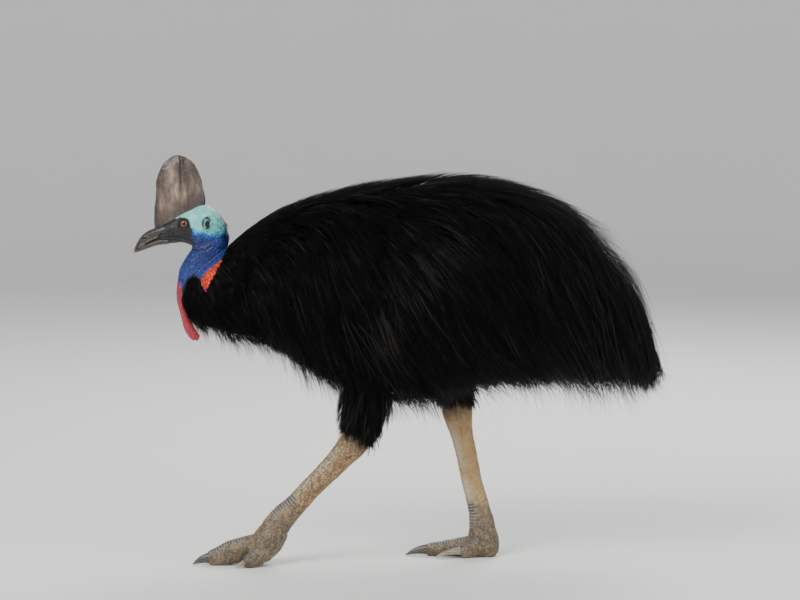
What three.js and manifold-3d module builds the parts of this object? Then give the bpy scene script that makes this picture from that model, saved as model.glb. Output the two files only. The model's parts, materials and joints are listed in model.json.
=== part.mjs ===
// A southern cassowary, life size, as a still model: it walks with the left foot forward.
// Millimetres, +Z up, the bill towards -X, the bird's left side towards -Y, the floor at Z = 0. The measures
// below have their own origin, with the floor at GROUND, and the finished bird is moved from it.
import * as THREE from 'three';
import { mergeVertices } from 'three/addons/utils/BufferGeometryUtils.js';
import Module from 'manifold-3d';

const wasm = await Module();
wasm.setup();

const GROUND = 7;
const GAP = 0.4; // left between two nodes that meet face to face
const SEED = 7;
const SMALLEST = 0.06; // edges shorter than this are closed up

// Plumage: each rib is a slanted oval through the body, from the neck's collar to the tail's skirt. top and
// bottom are [x, z] of its two ends, half is its half width and coat the depth of the loose plumage there.
const RIBS = [
  { name: 'collar', top: [-425, 792], bottom: [-531, 716], half: 40, coat: 9 },
  { name: 'throat', top: [-403, 812], bottom: [-543, 652], half: 58, coat: 13 },
  { name: 'neck', top: [-362, 846], bottom: [-527, 600], half: 82, coat: 20 },
  { name: 'breast', top: [-290, 891], bottom: [-440, 556], half: 124, coat: 28 },
  { name: 'mantle', top: [-190, 929], bottom: [-320, 522], half: 176, coat: 36 },
  { name: 'shoulder', top: [-75, 955], bottom: [-190, 452], half: 218, coat: 40 },
  { name: 'back', top: [50, 971], bottom: [-60, 396], half: 242, coat: 42 },
  { name: 'saddle', top: [170, 979], bottom: [90, 388], half: 250, coat: 44 },
  { name: 'hip', top: [290, 959], bottom: [225, 424], half: 242, coat: 46 },
  { name: 'croup', top: [400, 916], bottom: [355, 432], half: 222, coat: 48 },
  { name: 'rump', top: [500, 842], bottom: [470, 432], half: 192, coat: 50 },
  { name: 'tail', top: [585, 728], bottom: [560, 428], half: 146, coat: 50 },
  { name: 'skirt', top: [656, 524], bottom: [636, 436], half: 58, coat: 36 },
];
const WIDEST_BELOW = 0.16; // how far under a rib's middle it is widest, as a share of its half height
const SIDE_FULLNESS = 0.86; // under 1 the flanks stand fuller than an ellipse
const CORE_SIDES = 24;
const CORE_STEP = 0.06;
const TORSO_FROM = 0.25;
const TORSO_TO = 0.76;
const CORE_TO = 0.985;

// Locks of plumage
const LOCK = { length: 235, width: 76, thick: 7, sink: 0.3, tip: 1.1, least: 0.6 };
const LOCK_ROW = 0.084; // from one row of locks to the next, along the ribs
const LOCK_FIRST = 0.045;
const LOCK_LAST = 0.97;
const LOCK_SHORTEST = 70; // where there is less room than this, no lock grows
const LOCK_RAGGED = { low: -4, high: 14 }; // how far locks' tips pass the plumage's hem
const SKIRT_END = 672; // no lock's tip lies further back than this
const LOCK_STATIONS = [0, 0.3, 0.65, 1];
const LOCK_WIDTHS = [0.6, 1, 0.78, 0];
const LIE_STEEPEST = 1.0; // radians under the way to the tail at which the flanks' feathers lie
const HANGS_FROM = 2.25; // turn round the body from which the plumage hangs free
const LOCK_FRINGE = 118; // how much of a lock hangs free, less at the neck and more behind it
const HANG = 0.07; // how much more steeply a hanging lock points at each step
const LOCK_KEEP = 0.035; // how far ahead of the next node's core a row of locks keeps its roots

// Head and bare neck. Sections along the head are [x, top z, bottom z, half width]; those down the neck are
// [[front x, z], [back x, z], half width].
const HEAD_SECTIONS = [
  [-603, 838, 806, 13], [-594, 845, 802, 19], [-578, 856, 801, 24.5], [-558, 870, 803, 29],
  [-536, 884, 804, 34], [-514, 892, 797, 37.5], [-492, 899, 785, 39], [-470, 895, 780, 38],
  [-450, 878, 787, 33.5], [-434, 857, 799, 25.5], [-426, 840, 812, 16],
];
const NECK_SECTIONS = [
  [[-515, 800], [-428, 836], 33], [[-514, 791], [-421, 822], 34], [[-520, 781], [-422, 806], 34],
  [[-531, 765], [-427, 788], 33.5], [[-541, 748], [-434, 770], 33], [[-547, 730], [-446, 750], 32.5],
  [[-550.5, 708], [-457, 728], 32], [[-552, 686], [-470, 702], 28], [[-551, 665], [-490, 678], 21],
  [[-548, 649], [-510, 657], 13],
];
const SKIN_SIDES = 14;
const JAW = { front: [-530, 783], back: [-414, 819] }; // the line on which head and neck meet
// The edge of the plumage on the neck, from the nape to the throat, round the caruncles of the nape.
const COLLAR_EDGE = [
  [-422, 800], [-437, 766], [-453, 727], [-464, 709], [-472, 684], [-481, 689], [-487, 704], [-488, 716],
  [-508, 728], [-524, 718], [-533, 701], [-538.5, 682], [-539.5, 640],
];
const NAPE_FRONT = [
  [-479, 692], [-484.5, 705], [-484.5, 717], [-477, 731], [-461, 746], [-446, 755], [-440, 763],
];

// Casque: slanted slices [front [x, z], rear [x, z], half width] and its top [x, z]
const CASQUE_SLICES = [
  [[-606, 832], [-482, 886], 23], [[-608, 856], [-479.5, 911], 20], [[-607, 885], [-482, 928], 17],
  [[-604, 922], [-487, 948], 15], [[-601, 957], [-492, 966], 14], [[-592, 986], [-500, 985], 12.5],
  [[-578, 1008], [-512, 1006], 9.5], [[-562, 1018.5], [-526, 1017], 5.5],
];
const CASQUE_TOP = [-545, 1022.5];
const CASQUE_SHARES = [0, 0.05, 0.16, 0.32, 0.48, 0.58, 0.66, 0.74, 0.82, 0.9, 0.97, 1];
const CASQUE_FOLD = 1.5; // depth of the upright folds on its rear half

// Bill: sections like the head's
const BILL_UPPER = [
  [-661, 780, 777, 1.2], [-657, 793, 783, 4], [-650, 805, 789, 6.5], [-640, 820, 796, 9.5],
  [-625, 832, 803.5, 13], [-608, 840, 811, 17], [-590, 848, 817, 20.5], [-572, 856, 820, 22],
];
const BILL_LOWER = [
  [-655, 783.5, 779, 2], [-648, 787.5, 781, 5], [-636, 794.5, 785, 8], [-620, 802.5, 790.5, 11.5],
  [-604, 809, 796, 15], [-588, 814.5, 798.5, 18.5], [-572, 817, 800, 21],
];
const NOSTRIL = { at: [-633, 815], long: 6, high: 1.8, deep: 2.5, rise: -0.6 };
const MOUTH = [[-600, 813], [-572, 820], [-541, 820.5], [-515, 813.5]]; // [x, z] back from the bill
const LIP = { thick: 2.4, below: 2.8, sunk: 0.8 };

// Eye, lids and ear, the left ones; the right ones mirror them
const EYE = { x: -531, y: -30, z: 853, radius: 11.6, deep: 8 };
const LID = { radius: 10.8, thick: 2.2, out: 34.2 };
const EAR = { x: -475, y: -35.5, z: 855, across: 11.4, high: 15.8, deep: 6 };
const EAR_HOLE = { across: 7, high: 10.5, deep: 5.5, rear: 1.5 };

// Wattles: [x, y, z, half across, half front to back] down the left one's middle line
const WATTLE = [
  [-541, -11, 738, 3.5, 5], [-543.5, -14, 700, 4.5, 5.5], [-542, -14.5, 665, 4.5, 6],
  [-536, -14.5, 640, 5, 7], [-527, -14.5, 611, 5.5, 9], [-517, -14.5, 586, 6, 11.5],
  [-504, -14.5, 566, 5, 11],
];
const FAR_WATTLE_AHEAD = 7;
const WATTLE_BULBS = [[-527, 598, 4], [-515, 596, 4], [-517, 579, 4], [-503, 569, 4]]; // [x, z, radius]
const NAPE_BULBS = [[-477, 706, 5.5], [-471, 718, 6], [-463, 731, 6], [-452, 744, 5.5]];

// Wings: all but hidden arms with long bare quills. Each place is [s, turn, lift] on the body.
const WING_ARM = { from: [0.365, 1.4, 0.02], to: [0.43, 1.7, 0.1], across: 17, thick: 7 };
const QUILLS = [
  [[0.416, 1.62, 0.08], [0.434, 1.79, 1.28], [0.448, 1.96, 1.26], [0.461, 2.18, 1.12]],
  [[0.419, 1.63, 0.08], [0.446, 1.8, 1.28], [0.468, 1.98, 1.26], [0.488, 2.24, 1.12]],
  [[0.422, 1.63, 0.08], [0.458, 1.79, 1.28], [0.487, 1.97, 1.26], [0.512, 2.28, 1.12]],
  [[0.424, 1.62, 0.08], [0.469, 1.75, 1.28], [0.505, 1.9, 1.26], [0.536, 2.16, 1.12]],
];
const QUILL_HALF = 2.6;

// Legs: [x, y, z, half across, half front to back] from the top down, and along each toe from the foot.
// A claw is its bed, its point, half its depth and the rise of its back.
const LEGS = {
  left: {
    thigh: [
      [-62, -98, 560, 58, 70], [-74, -97, 480, 55, 66], [-82, -96, 415, 49, 60], [-91, -95, 360, 43, 52],
      [-98, -95, 328, 36, 43],
    ],
    rows: [0.46, 0.76], lockLength: 108, lockWidth: 41,
    shank: [
      [-94, -95, 338, 29, 35], [-109, -95, 315, 29, 37], [-143, -95, 275, 23, 30.5],
      [-182, -95, 234, 21, 27.5], [-216, -94, 200, 20.5, 26.5], [-252, -94, 160, 21.5, 27],
      [-283, -94, 129, 25, 31], [-307, -94, 99, 28, 34],
    ],
    pad: [[-306, -94, 94, 30, 36], [-325, -94, 65, 34, 39], [-341, -94, 42, 33, 33]],
    middle: [
      [-334, -94, 60, 22, 31], [-372, -94, 53, 21, 28], [-410, -94, 40, 20, 30], [-442, -95, 29, 17.5, 25.5],
      [-464, -95, 24, 15, 20.5],
    ],
    inner: [
      [-330, -82, 54, 20, 26], [-352, -68, 32, 19, 23], [-366, -60, 25, 17, 21],
      [-378, -53, 21.5, 14.5, 17.5],
    ],
    outer: [
      [-328, -108, 52, 20, 26], [-348, -119, 32, 19, 23], [-362, -126, 25, 17, 21],
      [-374, -132, 21.5, 14.5, 17.5],
    ],
    middleClaw: [[-466, -95, 24], [-511, -96, 8.5], 15.5, 5],
    innerClaw: [[-378, -54, 23], [-454, -30, 12], 12, 5],
    outerClaw: [[-372, -131, 21], [-400, -146, 8.5], 10.5, 4],
  },
  right: {
    thigh: [
      [112, 84, 560, 56, 66], [126, 72, 490, 52, 60], [140, 54, 430, 46, 52], [147, 44, 398, 40, 44],
    ],
    rows: [0.62], lockLength: 74, lockWidth: 42,
    shank: [
      [148, 42, 400, 31, 36], [150, 40, 372, 31, 38], [160, 37, 322, 24, 29], [171, 36, 275, 21, 26.5],
      [187, 35, 196, 20, 26], [205, 34, 128, 22, 27.5], [212, 34, 92, 27, 32], [214, 34, 66, 29, 34],
    ],
    pad: [[214, 34, 68, 31, 36], [216, 34, 46, 36, 40], [217, 34, 24, 35, 39]],
    middle: [[206, 34, 38, 23, 25], [160, 34, 29, 21, 25], [115, 34, 24.5, 19, 20.5], [80, 34, 22, 15, 17.5]],
    inner: [[206, 22, 36, 20, 25], [184, 11, 26, 18, 22], [164, 2, 22.5, 15, 18]],
    outer: [[206, 47, 36, 20, 25], [176, 64, 26, 18, 22], [148, 78, 22, 15, 17.5]],
    middleClaw: [[78, 34, 22.5], [18, 34, 8.5], 14.5, 5],
    innerClaw: [[166, 3, 24], [92, -16, 12], 12, 5],
    outerClaw: [[146, 79, 21.5], [112, 96, 8.5], 10.5, 4],
  },
};
const THIGH_COAT = 16;
const CLAW_FLOOR = GROUND + 0.8; // claws keep this far off the floor
const SHANK_SCUTES = { from: 0.2, to: 0.93, count: 10, raise: 1.8, step: 0.005 };
const TOE_SCUTES = { from: 0.16, to: 0.98, pitch: 19, raise: 1.5, step: 0.012 };

const point = (x, y, z) => new THREE.Vector3(x, y, z);
const mix = (a, b, t) => a + (b - a) * t;
const { clamp, smoothstep } = THREE.MathUtils;
const UP = point(0, 0, 1);
const FORWARD = point(-1, 0, 0);
const SIDES = { left: 1, right: -1 };

// The same sequence of draws from 0 to 1 on every run.
function seeded(seed) {
  let state = seed >>> 0;
  return () => {
    state = (state + 0x6d2b79f5) >>> 0;
    let t = Math.imul(state ^ (state >>> 15), state | 1);
    t ^= t + Math.imul(t ^ (t >>> 7), t | 61);
    return ((t ^ (t >>> 14)) >>> 0) / 4294967296;
  };
}

// A closed surface through rings of points, root first. A ring of one point is a tip.
function loft(rings) {
  const position = [];
  const index = [];
  const starts = rings.map((ring) => {
    const start = position.length / 3;
    ring.forEach((p) => position.push(p.x, p.y, p.z));
    return start;
  });
  const sides = Math.max(...rings.map((ring) => ring.length));
  for (let i = 0; i + 1 < rings.length; i++) {
    const near = rings[i].length > 1;
    const far = rings[i + 1].length > 1;
    for (let j = 0; j < sides; j++) {
      const k = (j + 1) % sides;
      if (near) index.push(starts[i] + j, starts[i] + k, starts[i + 1] + (far ? k : 0));
      if (far) index.push(starts[i] + (near ? j : 0), starts[i + 1] + k, starts[i + 1] + j);
    }
  }
  [0, rings.length - 1].forEach((end) => {
    if (rings[end].length === 1) return;
    for (let j = 1; j + 1 < sides; j++) {
      const pair = [starts[end] + j, starts[end] + j + 1];
      index.push(starts[end], ...(end ? pair : pair.reverse()));
    }
  });
  return new THREE.BufferGeometry()
    .setAttribute('position', new THREE.Float32BufferAttribute(position, 3))
    .setIndex(index);
}

// A solid for joining and cutting, from any closed geometry.
function solid(geometry) {
  const bare = geometry.clone();
  bare.deleteAttribute('normal');
  bare.deleteAttribute('uv');
  const merged = mergeVertices(bare, 1e-4);
  const triVerts = new Uint32Array(merged.index.array);
  const vertProperties = merged.attributes.position.array;
  const made = new wasm.Manifold(new wasm.Mesh({ numProp: 3, vertProperties, triVerts }));
  if (made.volume() >= 0) return made;
  for (let i = 0; i < triVerts.length; i += 3) {
    [triVerts[i + 1], triVerts[i + 2]] = [triVerts[i + 2], triVerts[i + 1]];
  }
  return new wasm.Manifold(new wasm.Mesh({ numProp: 3, vertProperties, triVerts }));
}

const shape = (rings) => solid(loft(rings));
const fuse = (pieces) => wasm.Manifold.union(pieces);
const cut = (body, ...tools) => tools.reduce((left, tool) => left.subtract(tool), body);

// The largest closed surface of a solid, without its loose scraps and sealed hollows.
function largest(body) {
  const parts = body.decompose().filter((part) => part.volume() > 0);
  return parts.reduce((best, part) => (part.volume() > best.volume() ? part : best));
}
const rounded = (body) => new wasm.Manifold(body.getMesh());
const whole = (body) => largest(rounded(largest(rounded(body.simplify(SMALLEST)))));

function geometryOf(body) {
  const mesh = body.getMesh();
  const position = new Float32Array(mesh.numVert * 3);
  for (let i = 0; i < mesh.numVert; i++) {
    position.set(mesh.vertProperties.subarray(i * mesh.numProp, i * mesh.numProp + 3), i * 3);
  }
  const geometry = new THREE.BufferGeometry()
    .setAttribute('position', new THREE.BufferAttribute(position, 3))
    .setIndex(new THREE.BufferAttribute(mesh.triVerts, 1));
  geometry.computeVertexNormals();
  return geometry;
}

// Materials
const finish = (color, roughness) => new THREE.MeshStandardMaterial({ color, roughness, metalness: 0 });
const PLUMAGE = finish(0x0b0b0d, 0.55);
const TURQUOISE_SKIN = finish(0x6fc9c4, 0.6);
const BLUE_SKIN = finish(0x2c3f96, 0.6);
const ORANGE_SKIN = finish(0xe8471c, 0.5);
const RED_SKIN = finish(0xc4474c, 0.55);
const CASQUE_HORN = finish(0x6e5a4b, 0.45);
const BILL_HORN = finish(0x2a2724, 0.4);
const IRIS = finish(0x9a4f22, 0.1);
const EAR_SKIN = finish(0x16252c, 0.6);
const LEG_SCALES = finish(0x9a7c50, 0.7);
const FOOT_SCALES = finish(0x80705c, 0.75);
const CLAW_HORN = finish(0x4c4741, 0.45);
const SPUR_HORN = finish(0x8f8878, 0.45);
const QUILL = finish(0x1a1817, 0.35);

const nodes = [];
const addNode = (name, body, material) => nodes.push({ name, body: largest(body), material });

// Body surface
const curveOf = (values) =>
  new THREE.CatmullRomCurve3(values.map(([x, y, z]) => point(x, y, z)), false, 'centripetal');
const TOPS = curveOf(RIBS.map((rib) => [rib.top[0], 0, rib.top[1]]));
const BOTTOMS = curveOf(RIBS.map((rib) => [rib.bottom[0], 0, rib.bottom[1]]));
const WIDTHS = curveOf(RIBS.map((rib, i) => [i * 100, rib.half, rib.coat]));

// A point of a curve, also straight on past its end.
function along(curve, t) {
  if (t <= 1) return curve.getPoint(Math.max(t, 0));
  const step = 0.01;
  const end = curve.getPoint(1);
  return end.clone().addScaledVector(end.clone().sub(curve.getPoint(1 - step)), (t - 1) / step);
}

// A point on the body: s runs from the collar (0) to the skirt (1), turn goes round from the back (0) over
// the left flank (pi / 2) to the belly (pi), and lift rises from the core (0) to the plumage's outside (1).
function bodyPoint(s, turn, lift) {
  const top = along(TOPS, s);
  const bottom = along(BOTTOMS, s);
  const size = WIDTHS.getPoint(clamp(s, 0, 1));
  const inset = size.z * (1 - lift);
  const up = top.clone().sub(bottom).multiplyScalar(0.5);
  const c = Math.cos(turn);
  const share = (c - WIDEST_BELOW * (1 - c * c)) * (1 - inset / up.length());
  const side = Math.sign(Math.sin(turn)) * Math.abs(Math.sin(turn)) ** SIDE_FULLNESS * (size.y - inset);
  return top.add(bottom).multiplyScalar(0.5).addScaledVector(up, share).add(point(0, -side, 0));
}

// The directions at a place on the body: towards the tail, round the rib, out of the skin.
function bodyFrame(s, turn, lift) {
  const d = 0.004;
  const tailward = bodyPoint(s + d, turn, lift).sub(bodyPoint(s - d, turn, lift));
  const around = bodyPoint(s, turn + d, lift).sub(bodyPoint(s, turn - d, lift));
  const perS = tailward.length() / (s < d ? s + d : 2 * d);
  const perTurn = around.length() / (2 * d);
  tailward.normalize();
  around.normalize();
  return { tailward, around, out: around.clone().cross(tailward).normalize(), perS, perTurn };
}

// The solid inside the plumage from one rib to another, at a lift. shift moves its first face tailwards.
function core(from, to, { grow = 0, shift = 0, lift = 0 } = {}) {
  const steps = Math.max(2, Math.round((to - from) / CORE_STEP));
  const rings = Array.from({ length: steps + 1 }, (_, i) => {
    const s = mix(from, to, i / steps);
    return Array.from({ length: CORE_SIDES }, (_, j) => {
      const turn = (2 * Math.PI * j) / CORE_SIDES;
      return bodyPoint(s, turn, lift).addScaledVector(bodyFrame(s, turn, lift).out, grow);
    });
  });
  const across = along(TOPS, from).sub(along(BOTTOMS, from)).cross(point(0, 1, 0)).normalize();
  rings[0].forEach((p) => p.addScaledVector(across, Math.sign(across.x) * shift));
  return shape(rings);
}

// The way in which feathers lie: angle under the direction to the tail.
const lie = (s, turn) =>
  LIE_STEEPEST * smoothstep(s, -0.1, 0.4) * Math.abs(Math.sin(turn)) ** 0.7 * Math.sign(Math.sin(turn));

// The places and directions along the plumage's lie from a root, at even steps. It follows the body down
// the flank, and hangs free under the belly and behind the skirt.
function followLie(s, turn, length, liftAt, steps = 20) {
  const found = [];
  let [atS, atTurn, last] = [s, turn, null];
  for (let i = 0; i <= steps; i++) {
    const hangs = last && (Math.abs(atTurn) > HANGS_FROM || atS > 1);
    if (hangs) {
      const way = last.way.clone().add(point(0, 0, -HANG)).normalize();
      const out = last.out.clone().addScaledVector(way, -last.out.dot(way)).normalize();
      last = { p: last.p.clone().addScaledVector(way, length / steps), way, out };
    } else {
      const lift = liftAt(i / steps);
      const frame = bodyFrame(atS, atTurn, lift);
      const angle = lie(atS, atTurn);
      const way = frame.tailward.clone().multiplyScalar(Math.cos(angle))
        .addScaledVector(frame.around, Math.sin(angle)).normalize();
      last = { p: bodyPoint(atS, atTurn, lift), way, out: frame.out };
      atS += (Math.cos(angle) * length) / steps / frame.perS;
      atTurn += (Math.sin(angle) * length) / steps / frame.perTurn;
    }
    found.push({ ...last, side: last.way.clone().cross(last.out) });
  }
  return found;
}

// The lowest that plumage hangs at x: the body's lower outline behind the neck, and level behind the skirt.
const HEM = Array.from({ length: 61 }, (_, i) => along(BOTTOMS, mix(0.2, 1, i / 60)));
function hemAt(x) {
  const next = HEM.findIndex((p) => p.x >= x);
  if (next < 1) return next < 0 ? HEM[HEM.length - 1].z : -Infinity;
  return mix(HEM[next - 1].z, HEM[next].z, (x - HEM[next - 1].x) / (HEM[next].x - HEM[next - 1].x));
}

// How long a lock may be before its tip passes the hem, or the end of the skirt.
function roomFor(s, turn, longest, below) {
  const found = followLie(s, turn, longest, () => 0.8, 40);
  const past = found.findIndex(({ p }) => p.z < hemAt(p.x) - below || p.x > SKIRT_END);
  return past < 0 ? longest : (longest * past) / 40;
}

// One flat, tapered lock with a ridge, through its places.
function blade(places, width, thick, grow = 0) {
  return shape(places.map(({ p, out, side }, i) => {
    if (i === places.length - 1) return [p];
    const half = (width * LOCK_WIDTHS[i]) / 2 + grow;
    const edge = (way) => p.clone().addScaledVector(side, way * half).addScaledVector(out, -grow);
    return [edge(1), edge(-1), p.clone().addScaledVector(out, thick * (1 - 0.6 * LOCK_STATIONS[i]) + grow)];
  }));
}
const rise = (share, sink, tip) => mix(-sink, tip, 1 - (1 - share) ** 3.6);
const stationsOf = (found) => LOCK_STATIONS.map((share) => found[Math.round(share * (found.length - 1))]);
const bodyLock = (l, grow) =>
  blade(stationsOf(followLie(l.s, l.turn, l.length, (share) => rise(share, LOCK.sink, l.tip))),
    l.width, l.thick, grow);

// Turns round a rib that are evenly spaced across the locks that start there.
function evenTurns(s, width, offset) {
  const samples = 120;
  const lengths = [0];
  for (let i = 1; i <= samples; i++) {
    const [a, b] = [i - 1, i].map((n) => bodyPoint(s, (2 * Math.PI * n) / samples, 0.5));
    const across = Math.cos(lie(s, (2 * Math.PI * (i - 0.5)) / samples)) ** 0.6;
    lengths.push(lengths[i - 1] + a.distanceTo(b) * across);
  }
  const count = Math.max(6, Math.round(lengths[samples] / width));
  return Array.from({ length: count }, (_, j) => {
    const wanted = (lengths[samples] * (j + offset)) / count;
    return (2 * Math.PI * lengths.findIndex((l) => l >= wanted - 1e-9)) / samples;
  });
}

// Every lock of the body, row by row from the collar to the skirt.
const draw = seeded(SEED);
const LOCKS = [];
for (let row = 0, s = LOCK_FIRST; s <= LOCK_LAST + 1e-9; row++, s += LOCK_ROW) {
  const scale = mix(LOCK.least, 1, smoothstep(s, 0, 0.42));
  const split = [TORSO_FROM, TORSO_TO].find((edge) => edge > s && edge - s < LOCK_KEEP);
  const rowS = split ? split - LOCK_KEEP : s;
  evenTurns(rowS, LOCK.width * scale, row % 2 ? 0.5 : 0).forEach((even) => {
    const turn = even > Math.PI ? even - 2 * Math.PI : even;
    const below = mix(LOCK_RAGGED.low, LOCK_RAGGED.high, draw());
    const toHang = (Math.max(0, HANGS_FROM - Math.abs(turn)) * bodyFrame(rowS, turn, 0.5).perTurn)
      / Math.abs(Math.sin(lie(rowS, turn)));
    const fringe = LOCK_FRINGE * mix(0.5, 2, smoothstep(rowS, 0, 0.42));
    const room = Math.min(roomFor(rowS, turn, LOCK.length * scale * 1.12, below), toHang + fringe);
    if (room < LOCK_SHORTEST * scale) return;
    LOCKS.push({
      s: rowS - 0.012 * draw(),
      turn: turn + 0.03 * (draw() - 0.5),
      length: Math.min(LOCK.length * scale * mix(0.9, 1.12, draw()), room),
      width: LOCK.width * scale * mix(0.86, 1, draw()),
      thick: LOCK.thick * scale,
      tip: LOCK.tip + 0.12 * (draw() - 0.5),
    });
  });
}
const locksOf = (from, to, grow = 0) =>
  LOCKS.filter((l) => l.s >= from && l.s < to).map((l) => bodyLock(l, grow));

// The place on the flank of the body's outside that lies at x and z.
function onFlank(x, z, lift, to = 0.3) {
  let best = { off: Infinity };
  for (let s = 0; s <= to; s += 0.004) {
    for (let turn = 0.05; turn < 3.1; turn += 0.02) {
      const p = bodyPoint(s, turn, lift);
      const off = Math.hypot(p.x - x, p.z - z);
      if (off < best.off) best = { off, p };
    }
  }
  return best.p;
}

// Tubes, balls and plates

// Points round an oval in the plane of two directions, u with half size a and v with half size b.
function oval(center, u, v, a, b, sides, squareness = 1) {
  const round = (value) => Math.sign(value) * Math.abs(value) ** squareness;
  return Array.from({ length: sides }, (_, j) => {
    const angle = (2 * Math.PI * (j + 0.5)) / sides;
    return center.clone().addScaledVector(u, a * round(Math.cos(angle)))
      .addScaledVector(v, b * round(Math.sin(angle)));
  });
}

// The centre, directions and half sizes of a limb at t, straight on past its end.
// stations are [x, y, z, half across, half front to back].
function limbFrame(stations, front, t) {
  const path = curveOf(stations);
  const size = curveOf(stations.map((s, i) => [i * 60, s[3], s[4]])).getPoint(clamp(t, 0, 1));
  const way = path.getTangent(clamp(t, 0, 1));
  const side = way.clone().cross(front).normalize();
  const center = path.getPoint(clamp(t, 0, 1)).addScaledVector(way, Math.max(0, t - 1) * path.getLength());
  return { center, way, side, ahead: side.clone().cross(way), across: size.y, deep: size.z };
}

// A limb through its stations with rounded ends, flattened at the floor where it has one. Broad scutes lie
// over its front, each with a raised lower edge: plates says from which t to which, how many and how high.
function limb(stations, { sides = 12, front = FORWARD, floor, round = 0.7, plates } = {}, grow = 0) {
  const last = stations.length - 1;
  const stops = stations.map((_, i) => ({ t: i / last, raise: 0 }))
    .filter(({ t }) => !plates || t < plates.from || t > plates.to);
  for (let i = 0; plates && i < plates.count; i++) {
    const t = mix(plates.from, plates.to, (i + 1) / plates.count);
    stops.push({ t, raise: plates.raise }, { t: t + plates.step, raise: 0 });
  }
  stops.sort((a, b) => a.t - b.t);
  const ring = (frame, offset, scale, raise = 0) => {
    const center = frame.center.clone().addScaledVector(frame.way, offset);
    const [a, b] = [frame.across, frame.deep].map((half) => half * scale + grow);
    if (!scale) return [center];
    const points = oval(center, frame.side, frame.ahead, a, b, sides);
    return points.map((p, j) => {
      const facing = Math.sin((2 * Math.PI * (j + 0.5)) / sides);
      return facing > 0.35 ? p.addScaledVector(p.clone().sub(center).normalize(), raise) : p;
    });
  };
  const [start, end] = [stops[0], stops[stops.length - 1]].map(({ t }) => limbFrame(stations, front, t));
  const cap = (frame) => Math.min(frame.across, frame.deep) * round + grow;
  const rings = [
    ring(start, -cap(start), 0), ring(start, -cap(start) * 0.7, 0.72),
    ...stops.map(({ t, raise }) => ring(limbFrame(stations, front, t), 0, 1, raise)),
    ring(end, cap(end) * 0.7, 0.72), ring(end, cap(end), 0),
  ];
  if (floor !== undefined) rings.flat().forEach((p) => (p.z = Math.max(p.z, floor)));
  return shape(rings);
}

// A place on a limb's outside at an angle from its side (0) to its front (pi / 2), raised by out.
function limbPlace(stations, front, t, angle, out) {
  const frame = limbFrame(stations, front, t);
  const away = frame.side.clone().multiplyScalar(Math.cos(angle))
    .addScaledVector(frame.ahead, Math.sin(angle));
  const p = frame.center.clone().addScaledVector(frame.side, Math.cos(angle) * (frame.across + out))
    .addScaledVector(frame.ahead, Math.sin(angle) * (frame.deep + out));
  return { p, out: away, side: frame.way.clone().cross(away) };
}

// A claw from its bed in the toe to its point.
function claw(bed, tip, half, drop) {
  const [a, b] = [point(...bed), point(...tip)];
  const way = b.clone().sub(a).normalize();
  const side = way.clone().cross(UP).normalize();
  const up = side.clone().cross(way);
  const rings = [0, 0.35, 0.7, 1].map((t) => {
    const center = a.clone().lerp(b, t).addScaledVector(up, drop * 4 * t * (1 - t));
    const size = half * (1 - t) ** 0.7;
    return t < 1 ? oval(center, side, up, size * 0.8, size, 7) : [center];
  });
  rings.unshift(oval(a.clone().addScaledVector(way, -3), side, up, half * 0.6, half * 0.75, 7));
  rings.flat().forEach((p) => (p.z = Math.max(p.z, CLAW_FLOOR)));
  return shape(rings);
}

// Sections of a form along X: [x, top z, bottom z, half width].
function lengthwise(sections, sides, grow = 0) {
  const rings = sections.map(([x, top, bottom, half]) => {
    const center = point(x, 0, (top + bottom) / 2);
    return oval(center, point(0, 1, 0), UP, half + grow, (top - bottom) / 2 + grow, sides, 0.92);
  });
  const [first, last] = [0, sections.length - 1].map((i) => {
    const [x, top, bottom] = sections[i];
    const outward = (i ? 1 : -1) * Math.sign(sections[1][0] - sections[0][0]);
    return [point(x + outward * (3 + grow), 0, (top + bottom) / 2)];
  });
  return shape([first, ...rings, last]);
}

const ball = (x, y, z, a, b, c, wide = 12, tall = 8) =>
  solid(new THREE.SphereGeometry(1, wide, tall).scale(a, b, c).translate(x, y, z));

// A slab with an outline of [x, z] places, from y to toY.
function slab(outline, y, toY) {
  const face = new THREE.Shape(outline.map(([x, z]) => new THREE.Vector2(x, z)));
  const made = new THREE.ExtrudeGeometry(face, { depth: toY - y, bevelEnabled: false, curveSegments: 1 });
  return solid(made.rotateX(Math.PI / 2).translate(0, toY, 0));
}

// Head and neck
const sectionsCurve = (sections) => (x) => {
  const i = clamp(sections.findIndex((s) => s[0] >= x), 1, sections.length - 1);
  const t = clamp((x - sections[i - 1][0]) / (sections[i][0] - sections[i - 1][0]), 0, 1);
  return sections[i].map((value, n) => mix(sections[i - 1][n], value, t));
};
// How far the side of a lengthwise form stands out from the middle plane at x and z.
function sideOf(sections, x, z) {
  const [, top, bottom, half] = sectionsCurve(sections)(x);
  const high = Math.abs(z - (top + bottom) / 2) / ((top - bottom) / 2);
  const sine = Math.min(1, high ** (1 / 0.92));
  return half * Math.sqrt(1 - sine * sine) ** 0.92;
}
function neckForm(grow = 0) {
  const rings = NECK_SECTIONS.map(([f, k, half]) => {
    const [front, back] = [point(f[0], 0, f[1]), point(k[0], 0, k[1])];
    const deep = front.distanceTo(back) / 2;
    const axis = front.clone().sub(back).normalize();
    const center = front.clone().add(back).multiplyScalar(0.5);
    return oval(center, axis, point(0, 1, 0), deep + grow, half + grow, SKIN_SIDES);
  });
  return shape(rings);
}
const skinForm = (grow = 0) => fuse([lengthwise(HEAD_SECTIONS, SKIN_SIDES, grow), neckForm(grow)]);

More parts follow.
